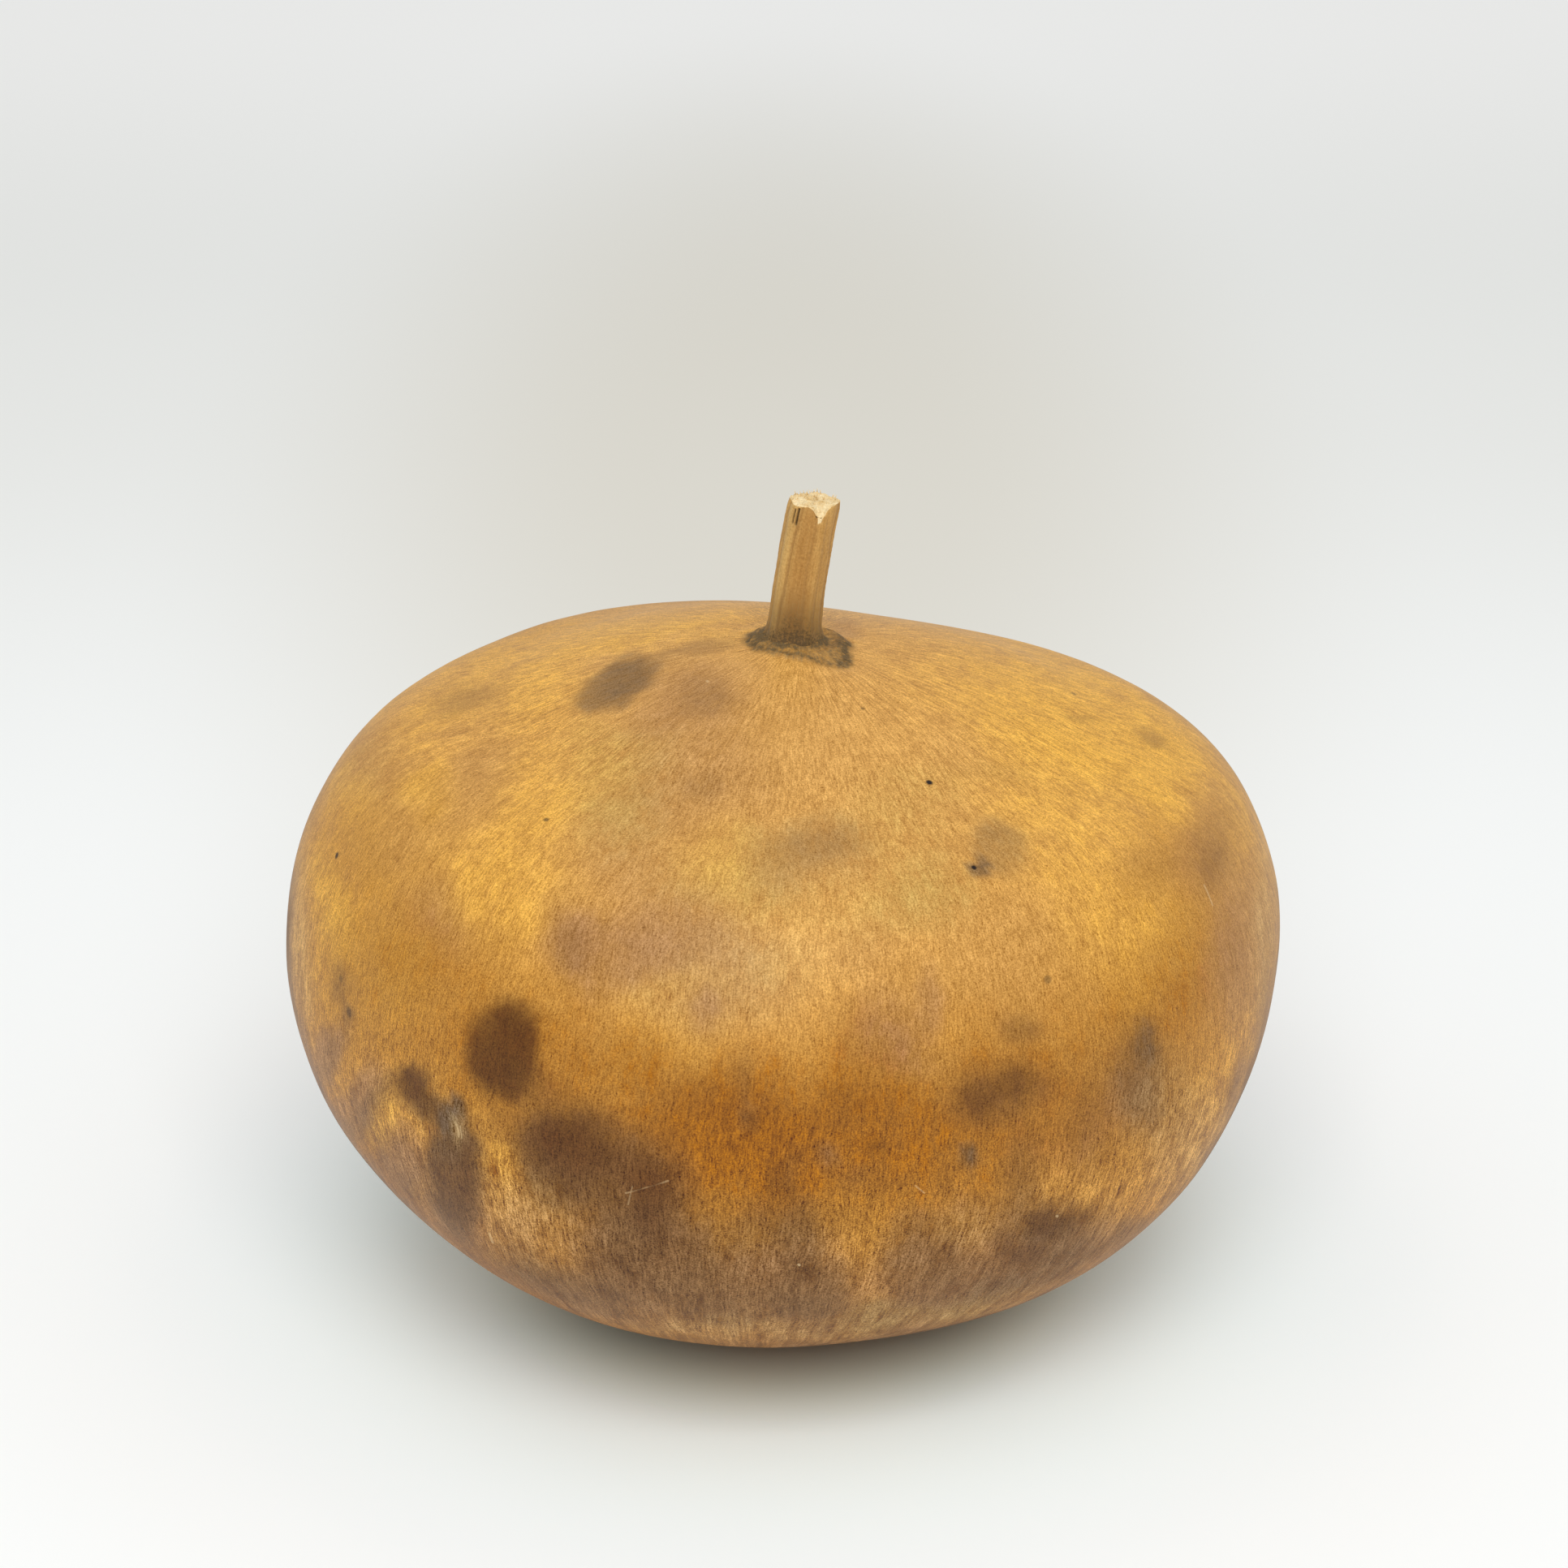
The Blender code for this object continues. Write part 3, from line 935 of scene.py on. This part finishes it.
def spots_on(skin):
    """Where the flecks and scratches lie on the skin: both ends, half width, strength and colour."""
    tree = surface_of(skin)
    spots = []
    for fleck in FLECKS:
        hit, _, _, distance = tree.ray_cast(VIEWPOINT.translation, photo_ray(fleck.x, fleck.y))
        spots.append((hit, hit, fleck.radius * distance / FOCAL_PIXELS, fleck.strength, DARK_FLECK))
    for scratch in SCRATCHES:
        start, _, _, distance = tree.ray_cast(VIEWPOINT.translation, photo_ray(scratch.x, scratch.y))
        end = tree.ray_cast(VIEWPOINT.translation, photo_ray(scratch.to_x, scratch.to_y))[0]
        spots.append((start, end, scratch.width * distance / FOCAL_PIXELS, scratch.strength, PALE_SCRATCH))
    for scar in (BLOSSOM_RING, BLOSSOM_PIT):
        spots.append((BLOSSOM_SCAR, BLOSSOM_SCAR, *scar))
    return spots


# The pattern of the skin: the sizes of its fine streaks, its broader strokes and its soft unevenness.
FIBRE_WIDTH = 0.36 * MM
FIBRE_LENGTH = 3.6 * MM
FIBRE_BANDS = 4  # the streaks are laid in bands from the girth inwards, each half as far out as the last
BRUSH_WIDTH = 2.2 * MM
BRUSH_LENGTH = 10 * MM
CLOUD_SIZE = 42 * MM
MOTTLE_SIZE = 6 * MM
SPECKLE_SIZE = 1.1 * MM
PORE_SIZE = 0.30 * MM

# How the streaks stray from the meridians: over what size, and how far, as a share of their course.
SWAY = (20 * MM, 0.04)
FLUTTER = (4 * MM, 0.008)

# How far along a meridian the streaks count, so that they grow shorter away from the stem.
STREAK_EVEN = 55 * MM
STREAK_PACE = 1.15
STREAK_CROWDING = 1.5

# How deep the fine grain and the slow mottling go in red, green and blue.
FINE_DEPTHS = (1.4, 1.7, 2.4)
SLOW_DEPTHS = (0.50, 0.62, 0.85)


def fibre_grain(finish, growth, spread):
    """Fine streaks along the meridians, of an even width from the stem to the girth."""
    grain = 0.0
    for band in range(FIBRE_BANDS):
        radius = GIRTH_RADIUS / 2 ** band
        turns = radius / FIBRE_WIDTH
        streaks = finish.noise(finish.scaled(growth, (turns, turns, 1.0 / FIBRE_LENGTH)), 1.0, 3.0, 0.7)
        bands_off = (spread / radius).log2().absolute()
        grain = streaks * (1.0 - bands_off).clamped() + grain
    return grain


def skin_finish(spots):
    """Satin skin in ochre with its stains, streaked along the meridians."""
    skin = Finish("gourd_skin")
    place = skin.place()
    strayed = skin.shifted(skin.attribute("growth"), skin.drift(place, *SWAY))
    growth = skin.shifted(strayed, skin.drift(place, *FLUTTER))
    spread, depth = skin.parts(skin.attribute("reach"))[:2]
    grain = fibre_grain(skin, growth, spread)
    turns = GIRTH_RADIUS / BRUSH_WIDTH
    brush = skin.noise(skin.scaled(growth, (turns, turns, 1.0 / BRUSH_LENGTH)), 1.0, 3.0, 0.6)
    mottle = skin.noise(place, 1.0 / MOTTLE_SIZE, 4.0, 0.65)
    cloud = skin.noise(place, 1.0 / CLOUD_SIZE, 2.0, 0.5)
    pores = skin.noise(place, 1.0 / PORE_SIZE, 2.0, 0.6)
    speckle = skin.noise(place, 1.0 / SPECKLE_SIZE, 3.0, 0.7)
    low = (depth + cloud * 0.03).eased(0.45 * GIRTH_DEPTH, 1.2 * GIRTH_DEPTH)
    ragged = grain * 0.8 + brush * 1.1 + mottle * 1.4 + speckle * 0.6

    unsure = cloud * 0.05 + mottle * 0.03
    # Lighter near the stem, darker below the girth: partly the skin's own tone, partly painted light and
    # shade.
    colour = skin.mix((depth + unsure).eased(0.0, GIRTH_DEPTH), STRAW, OCHRE)
    colour = skin.mix((depth + unsure).eased(GIRTH_DEPTH, 1.7 * GIRTH_DEPTH), colour, RUSSET)
    amounts = {}
    for index, names in enumerate(LAYERS):
        for name, value in zip(names, skin.parts(skin.attribute("marks_" + str(index)))):
            amounts[name] = value
    amounts["collar"] = (amounts["collar"] * (speckle * 2.2 + pores * 1.4 + 1.1)).clamped()
    for name, pigment in PIGMENTS.items():
        amount = amounts[name]
        uneven = amount * (1.0 - amount) * 4.0 * EDGE_WEAR.get(name, 1.0)
        share = (amount + uneven * ragged).clamped()
        colour = skin.mix(share, colour, pigment)
    fine = (grain * 0.95 + pores * 0.8) * (low + 1.3)
    slow = (brush + mottle) * (low * 1.8 + 1.2) + speckle * (low * 0.8 + 0.5)
    colour = skin.toned(skin.toned(colour, fine, FINE_DEPTHS), slow, SLOW_DEPTHS)
    for start, end, radius, strength, tint in spots:
        away = skin.away_from(place, start, end)
        spot = (1.0 - (away + mottle * 0.4 * radius).eased(radius * 0.6, radius * 1.5)) * strength
        colour = skin.mix(spot, colour, tint)
    skin.feed(skin.shader.inputs["Base Color"], colour)

    dull = amounts["mould"] * 0.25 + amounts["collar"] * 0.35 + amounts["umber"] * 0.06
    skin.feed(skin.shader.inputs["Roughness"], 0.46 + mottle * 0.12 + grain * 0.10 + dull)
    height = grain * 0.6 + mottle * 0.5 + brush * 0.4
    relief = skin.node("ShaderNodeBump", {}, {"Strength": 0.35, "Distance": 0.12 * MM, "Height": height})
    skin.feed(skin.shader.inputs["Normal"], relief)
    skin.shader.inputs["Specular IOR Level"].default_value = 0.20
    return skin.material


# The flat ends of the solids: the way each faces, how squarely its faces have to face that way, and the
# number of rings that it is divided into.
CROWN_SEAT = (AXIS, 0.99995, 3)
FOOT = (Vector((0.0, 0.0, -1.0)), 0.9999995, 5)
STEM_CUT = (AXIS, 0.99995, 3)
STEM_BASE = (-AXIS, 0.99995, 0)
SKIN_LEVELS = 2
STEM_LEVELS = 3


def make_skin():
    """The fruit's skin, in place of the CAD solid."""
    skin = fine_copy("gourd", "gourd_shell", (CROWN_SEAT, FOOT), SKIN_LEVELS)
    pole = crown_pole(skin.data)
    carve_skin(skin.data, pole)
    fields = mark_fields(skin.data, pole)
    hidden_marks(skin.data, fields)
    for index, names in enumerate(LAYERS):
        put_values(skin.data, "marks_" + str(index), *[fields[name] for name in names])
    angle, spread, depth = grown(points_of(skin.data), pole)
    travel = STREAK_EVEN * (np.hypot(spread, depth) * STREAK_PACE / STREAK_EVEN) ** STREAK_CROWDING
    put_values(skin.data, "growth", np.cos(angle), np.sin(angle), travel)
    put_values(skin.data, "reach", spread, depth)
    skin.data.materials.clear()
    skin.data.materials.append(skin_finish(spots_on(skin)))
    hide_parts("gourd")
    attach(skin, "root")
    return pole


# Ridges and grooves round the stem: the way each faces, its half width in degrees and its height.
Flute = namedtuple("Flute", "facing half_width height")
FLUTES = (
    Flute(214, 13, 0.20 * MM),
    Flute(236, 5, -0.20 * MM),
    Flute(262, 14, 0.06 * MM),
    Flute(280, 6, -0.14 * MM),
    Flute(296, 9, 0.16 * MM),
    Flute(313, 5, -0.10 * MM),
    Flute(334, 10, 0.14 * MM),
    Flute(352, 6, -0.18 * MM),
    Flute(18, 13, 0.20 * MM),
    Flute(44, 6, -0.20 * MM),
    Flute(70, 12, 0.14 * MM),
    Flute(92, 6, -0.16 * MM),
    Flute(118, 12, 0.20 * MM),
    Flute(142, 6, -0.22 * MM),
    Flute(164, 10, 0.14 * MM),
    Flute(186, 6, -0.16 * MM),
)

# Short slits just below the cut, darkened with painted shade: the way each faces, its half width in
# degrees, and its top and bottom as shares of the stem's length.
Slit = namedtuple("Slit", "facing half_width top bottom")
SLITS = (
    Slit(226, 2.0, 0.975, 0.87),
    Slit(234, 2.2, 0.985, 0.86),
    Slit(279, 1.5, 0.975, 0.93),
    Slit(289, 1.3, 0.960, 0.925),
    Slit(70, 2.2, 0.96, 0.87),
    Slit(148, 2.2, 0.965, 0.86),
)
SLIT_DEPTH = 0.5 * MM
SLIT_ENDING = 0.01  # the share of the stem's length over which a slit comes to its end
# The grooves are darkened with painted shade, by their depth.
GROOVE_SHADE_WHOLE = 0.2 * MM  # a groove of this depth is as dark as any

# The sliver that came away below the cut: the way it faces, its depth, how far down it reaches as a
# share of the stem's length, and how many degrees it widens by over a whole length.
SLIVER_FACING = 286
SLIVER_DEPTH = 0.25 * MM
SLIVER_BOTTOM = 0.87
SLIVER_WIDENING = 110.0

STEM_BEND = 1.5 * MM  # how far the stem's top bends towards +X
STEM_RADIUS = 4.7 * MM
STEM_EDGE = (3.4 * MM, 4.3 * MM)  # its flat ends lie further in than the first, its side beyond the second
STEM_FLARE = (0.20 * MM, 0.14)  # how far the foot stands out, and up to which share of the length

# Relief in waves: how far each reaches, its size and its seed.
PITH_RELIEF = ((0.30 * MM, 1.2 * MM, 33), (0.20 * MM, 0.5 * MM, 34))
BARK_RELIEF = ((0.05 * MM, 0.8 * MM, 35), (0.12 * MM, 5.0 * MM, 36))
SLIVER_EDGE = ((5.0, 1.0 * MM, 37),)  # in degrees

# Broad tints down the stem: the way each faces and its half width in degrees.
STEM_SHADOW = (268, 50.0)
STEM_LIGHT = (210, 22.0)
STEM_FRONT = (264, 30.0)

# The pattern of the dry fibre.
STEM_FIBRE_WIDTH = 0.30 * MM
STEM_FIBRE_LENGTH = 7 * MM
STEM_BLOTCH_SIZE = 2.6 * MM
STEM_PORE_SIZE = 0.40 * MM
STEM_DEPTHS = (0.9, 1.1, 1.4)

# The stem's colours: two of the bare fibre, its front, its lighter side, the painted shade in its grooves,
# its foot and its cut.
STEM_TAN = shade(180, 134, 66)
STEM_STRAW = shade(212, 168, 98)
STEM_HONEY = shade(160, 110, 48)
STEM_CREAM = shade(206, 170, 104)
STEM_GROOVE_SHADE = shade(122, 80, 34)
STEM_FOOT = shade(88, 66, 34)
CUT_PALE = shade(246, 228, 184)
CUT_TAN = shade(214, 176, 112)


def stem_finish():
    """Dry straw-coloured fibre with painted shade in its grooves, browner at its foot, pale on the cut."""
    wood = Finish("stem_wood")
    groove, cut = wood.parts(wood.attribute("stem_parts"))[:2]
    dark, light, front = wood.parts(wood.attribute("stem_stains"))
    place = wood.place()
    turns = STEM_RADIUS / STEM_FIBRE_WIDTH
    along = wood.scaled(wood.attribute("growth"), (turns, turns, 1.0 / STEM_FIBRE_LENGTH))
    fibre = wood.noise(along, 1.0, 3.0, 0.65)
    blotch = wood.noise(place, 1.0 / STEM_BLOTCH_SIZE, 4.0, 0.65)
    pores = wood.noise(place, 1.0 / STEM_PORE_SIZE, 2.0, 0.6)
    colour = wood.mix((fibre * 1.6 + blotch * 0.8 + 0.5).clamped(), STEM_TAN, STEM_STRAW)
    colour = wood.mix((front + (blotch + fibre) * 0.6).clamped() * 0.55, colour, STEM_HONEY)
    colour = wood.mix((light + (blotch + fibre) * 0.4).clamped() * 0.7, colour, STEM_CREAM)
    # Painted shade in the grooves, by their depth.
    colour = wood.mix((groove + fibre * 0.8).eased(0.2, 1.1) * 0.42, colour, STEM_GROOVE_SHADE)
    soiled = dark + (blotch * 0.8 + fibre + pores * 1.8) * dark
    colour = wood.mix(soiled.clamped(), colour, STEM_FOOT)
    bare = wood.mix((blotch * 2.4 + pores + 0.5).clamped(), CUT_PALE, CUT_TAN)
    colour = wood.mix((cut + (blotch + fibre) * 0.5).eased(0.40, 0.80), colour, bare)
    colour = wood.toned(colour, pores * 0.8 + fibre * 0.4, STEM_DEPTHS)
    wood.feed(wood.shader.inputs["Base Color"], colour)
    wood.feed(wood.shader.inputs["Roughness"], 0.66 + blotch * 0.2)
    height = fibre + blotch * 0.6 + pores * 0.4
    relief = wood.node("ShaderNodeBump", {}, {"Strength": 0.6, "Distance": 0.20 * MM, "Height": height})
    wood.feed(wood.shader.inputs["Normal"], relief)
    wood.shader.inputs["Specular IOR Level"].default_value = 0.3
    return wood.material


def stem_frame(points, pole):
    """Angle round the bent stem, distance from its middle, height as a share of its length, and length."""
    own = (points - np.array(pole)) @ np.array(TIP)
    low, high = own[:, 2].min(), own[:, 2].max()
    up = (own[:, 2] - low) / (high - low)
    across = own[:, 0] - STEM_BEND * up * up
    return np.arctan2(own[:, 1], across), np.hypot(across, own[:, 1]), up, high - low


def fluted(angle, up):
    """How far the stem's side stands out, and how deep in a groove it is, which sets the painted shade in
    the grooves. The flutes wind as they rise.
    """
    winding = 5.0 * np.sin(4.0 * up + 0.5) * np.sin(2.0 * angle) + 2.0 * np.sin(11.0 * up + 3.0 * angle)
    proud = np.zeros(len(angle))
    deep = np.zeros(len(angle))
    for flute in FLUTES:
        shape = bump(turned_from(angle, flute.facing) + winding, 0.0, flute.half_width)
        proud += flute.height * shape
        if flute.height < 0.0:
            deep = np.maximum(deep, shape * min(1.0, -flute.height / GROOVE_SHADE_WHOLE))
    return proud, deep


def slit_marks(angle, up):
    """One inside the short dark slits, nought elsewhere."""
    inside = np.zeros(len(angle))
    for slit in SLITS:
        off = np.abs(turned_from(angle, slit.facing)) / slit.half_width
        above = smoothed(up, slit.bottom - SLIT_ENDING, slit.bottom + SLIT_ENDING)
        below = 1.0 - smoothed(up, slit.top - SLIT_ENDING, slit.top)
        inside = np.maximum(inside, (1.0 - smoothed(off, 0.6, 1.4)) * above * below)
    return inside


def sliver_mark(points, angle, up):
    """One where the sliver came away, nought elsewhere."""
    off = roughened(turned_from(angle, SLIVER_FACING), points, SLIVER_EDGE)
    off = np.where(off > 0.0, off * 0.7, -1.5 * off)
    inside = 1.0 - smoothed(off - SLIVER_WIDENING * (up - SLIVER_BOTTOM), -3.0, 3.0)
    return inside * smoothed(up, SLIVER_BOTTOM - 0.01, SLIVER_BOTTOM + 0.03)


def make_stem(pole):
    """The fluted stem, in place of the CAD solid."""
    stem = fine_copy("stem", "stem_stalk", (STEM_CUT, STEM_BASE), STEM_LEVELS)
    mesh = stem.data
    points = points_of(mesh)
    normals = normals_of(mesh)
    angle, spread, up, length = stem_frame(points, pole)
    side = smoothed(spread, *STEM_EDGE)
    proud, deep = fluted(angle, up)
    slits = slit_marks(angle, up) * side
    sliver = sliver_mark(points, angle, up)
    cut = smoothed(normals @ np.array(AXIS), 0.35, 0.75) * (up > 0.8)
    flare = STEM_FLARE[0] * (1.0 - smoothed(up, 0.0, STEM_FLARE[1])) ** 2
    carved = proud * smoothed(up, 0.02, 0.2) - SLIT_DEPTH * slits - SLIVER_DEPTH * sliver + flare
    lift = carved * side * (1.0 - cut)
    lift += roughened(0.0, points, PITH_RELIEF) * cut
    lift += roughened(0.0, points, BARK_RELIEF) * side
    shifted = points + normals * lift[:, None]
    shifted[:, 0] -= STEM_SHIFT * (1.0 - up)
    put_points(mesh, shifted)

    foot = (1.0 - smoothed(up, 0.08, 0.52)) ** 1.1
    shadow = 0.45 + 0.55 * faced(angle, *STEM_SHADOW)
    skirt = 1.0 - smoothed(up, 0.02, 0.16)
    # The foot is browner, and the slits are darkened with painted shade.
    dark = np.clip(0.80 * foot * shadow + 0.34 * skirt + 0.95 * slits, 0.0, 1.0)
    light = faced(angle, *STEM_LIGHT) * (1.0 - 0.7 * skirt)
    bare = np.maximum(cut, sliver * (1.0 - slits))
    put_values(mesh, "growth", np.cos(angle), np.sin(angle), up * length)
    # Painted shade in the grooves, by their depth, and the bare wood.
    put_values(mesh, "stem_parts", deep * side * (1.0 - cut), bare)
    put_values(mesh, "stem_stains", dark, light, faced(angle, *STEM_FRONT))
    wood = stem_finish()
    mesh.materials.clear()
    mesh.materials.append(wood)
    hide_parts("stem")
    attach(stem, "root")
    make_fibres(stem, wood)


# The loose fibres on the cut. Two in three stand at the rim.
LOOSE_COUNT = 60
LOOSE_SEED = 17
LOOSE_LEAN = 0.5
LOOSE_TAPER = 0.3
LOOSE_SIDES = 5
CUT_RADIUS = 4.3 * MM
CUT_DEPTH = 1.5 * MM  # the vertices no further than this below the top give the middle of the cut
RIM_SHARE = 0.92
DROP = 6 * MM  # a fibre's place is found from this far above the cut


def make_fibres(stem, wood):
    """The short torn fibres that stand on the cut."""
    chance = random.Random(LOOSE_SEED)
    tree = surface_of(stem)
    top = max(vertex.co.z for vertex in stem.data.vertices)
    upper = [vertex.co for vertex in stem.data.vertices if vertex.co.z > top - CUT_DEPTH]
    middle = sum(upper, Vector()) / len(upper)
    fibres = bmesh.new()
    for index in range(LOOSE_COUNT):
        turn = chance.uniform(0.0, 2.0 * math.pi)
        out = (RIM_SHARE if index % 3 else chance.uniform(0.1, 0.85)) * CUT_RADIUS
        start = middle + TIP @ Vector((out * math.cos(turn), out * math.sin(turn), DROP))
        hit = tree.ray_cast(start, -AXIS)[0]
        tall = chance.uniform(0.5, 1.3) * MM
        thick = chance.uniform(0.07, 0.14) * MM
        lean_x = Matrix.Rotation(chance.uniform(-LOOSE_LEAN, LOOSE_LEAN), 4, "X")
        lean_y = Matrix.Rotation(chance.uniform(-LOOSE_LEAN, LOOSE_LEAN), 4, "Y")
        if hit is None:
            continue
        rooted = Matrix.Translation((0.0, 0.0, tall * 0.3))
        place = Matrix.Translation(hit) @ TIP.to_4x4() @ (lean_x @ lean_y) @ rooted
        ends = {"radius1": thick, "radius2": thick * LOOSE_TAPER, "depth": tall}
        bmesh.ops.create_cone(fibres, cap_ends=True, segments=LOOSE_SIDES, matrix=place, **ends)
    piece = add_object("stem_fibres", mesh_from(fibres, "stem_fibres"))
    mesh = piece.data
    put_values(mesh, "growth")
    put_values(mesh, "stem_parts", 0.0, 1.0)
    put_values(mesh, "stem_stains")
    mesh.materials.append(wood)
    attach(piece, "root")


FLOOR_RADIUS = 2.4
FLOOR_SIDES = 96

# The floor's tones near the viewer, further back and far off, and between which distances they change. The
# greyer band further back is painted shade, and the lighter paper far off is painted light.
NEAR_PAPER = shade(247, 248, 246)
PAINTED_SHADE_BAND = shade(238, 238, 234)
PAINTED_SHADE_BAND_FADE = (0.16, 0.50)
PAINTED_LIGHT_FAR = shade(253, 252, 249)
PAINTED_LIGHT_FAR_FADE = (0.60, 1.0)

# A warm grey painted shadow behind the fruit: how its place is brought to the middle and made round, and
# its fade.
BACK_SHADOW_SHIFT = (0.0, -0.45, 0.0)
BACK_SHADOW_SCALE = (5.9, 2.1, 0.0)
BACK_SHADOW_TONE = shade(225, 221, 210)
BACK_SHADOW_FADE = (0.2, 1.1)

# Round the fruit, by distance: painted light that brightens the paper, and a painted contact shadow where
# the two touch.
PAINTED_LIGHT_BESIDE = shade(249, 255, 255)
PAINTED_LIGHT_BESIDE_FADE = (0.08, 0.15)
# The painted contact shadow under the fruit.
CONTACT_SHADOW_SHIFT = (0.0, 0.006, 0.0)
CONTACT_SHADOW_TONE = shade(216, 214, 198)
CONTACT_SHADOW_FADE = (0.038, 0.066)

# A faint painted glow that the paper gives off round the fruit, lifting the shade there, and the distances
# at which it comes and goes.
NO_LIGHT = (0.0, 0.0, 0.0)
GLOW = (0.062, 0.086, 0.072)
GLOW_COMES = (0.036, 0.060)
GLOW_GOES = (0.072, 0.125)


def make_floor():
    """A round pale floor with painted light and shade: bands of tone, shadows behind and under the fruit, a
    glow round it.
    """
    shape = bmesh.new()
    bmesh.ops.create_circle(shape, cap_ends=True, segments=FLOOR_SIDES, radius=FLOOR_RADIUS)
    floor = add_object("floor", mesh_from(shape, "floor"))
    paper = Finish("pale_paper_painted_light")
    place = paper.place()
    away = paper.parts(place)[1]
    # Painted shade in a band further back, and painted light far off.
    colour = paper.mix(away.eased(*PAINTED_SHADE_BAND_FADE), NEAR_PAPER, PAINTED_SHADE_BAND)
    colour = paper.mix(away.eased(*PAINTED_LIGHT_FAR_FADE), colour, PAINTED_LIGHT_FAR)
    # The painted shadow behind the fruit.
    back_shadow = paper.length(paper.scaled(paper.shifted(place, BACK_SHADOW_SHIFT), BACK_SHADOW_SCALE))
    colour = paper.mix(back_shadow.eased(*BACK_SHADOW_FADE), BACK_SHADOW_TONE, colour)
    # Painted light on the paper round the fruit.
    beside = paper.length(place)
    colour = paper.mix(beside.eased(*PAINTED_LIGHT_BESIDE_FADE), PAINTED_LIGHT_BESIDE, colour)
    # The painted contact shadow under the fruit.
    under = paper.length(paper.shifted(place, CONTACT_SHADOW_SHIFT))
    colour = paper.mix(under.eased(*CONTACT_SHADOW_FADE), CONTACT_SHADOW_TONE, colour)
    paper.feed(paper.shader.inputs["Base Color"], colour)
    # The painted glow round the fruit.
    glow = beside.eased(*GLOW_COMES) * (1.0 - beside.eased(*GLOW_GOES))
    paper.feed(paper.shader.inputs["Emission Color"], paper.mix(glow, NO_LIGHT, GLOW))
    paper.shader.inputs["Emission Strength"].default_value = 1.0
    paper.shader.inputs["Roughness"].default_value = 0.9
    paper.shader.inputs["Specular IOR Level"].default_value = 0.1
    floor.data.materials.append(paper.material)


DAYLIGHT = (0.96, 0.98, 1.0, 1.0)
DAYLIGHT_STRENGTH = 0.60

# The soft lights: where each stands, what it faces, how wide it is and its power in watts.
CEILING_PANEL = ((0.0, 0.0, 2.0), (0.0, 0.0, 0.0), 2.0, 9.0)
FRONT_WINDOW = ((0.05, -1.30, 1.45), MIDDLE, 1.2, 17.0)


def soft_light(name, place, aim, width, power):
    """A square soft light that faces a point."""
    data = bpy.data.lights.new(name, "AREA")
    data.size = width
    data.energy = power
    light = bpy.data.objects.new(name, data)
    light.location = place
    light.rotation_euler = (Vector(aim) - Vector(place)).to_track_quat("-Z", "Y").to_euler()
    bpy.context.scene.collection.objects.link(light)


def light_room():
    """Bright even daylight from all round, a broad light overhead and one above the viewer."""
    world = bpy.data.worlds.new("daylight")
    world.use_nodes = True
    sky = world.node_tree.nodes["Background"]
    sky.inputs["Color"].default_value = DAYLIGHT
    sky.inputs["Strength"].default_value = DAYLIGHT_STRENGTH
    bpy.context.scene.world = world
    soft_light("ceiling_panel", *CEILING_PANEL)
    soft_light("front_window", *FRONT_WINDOW)
    bpy.context.scene.view_settings.view_transform = "Standard"


make_camera()
crown = make_skin()
make_stem(crown)
make_floor()
light_room()
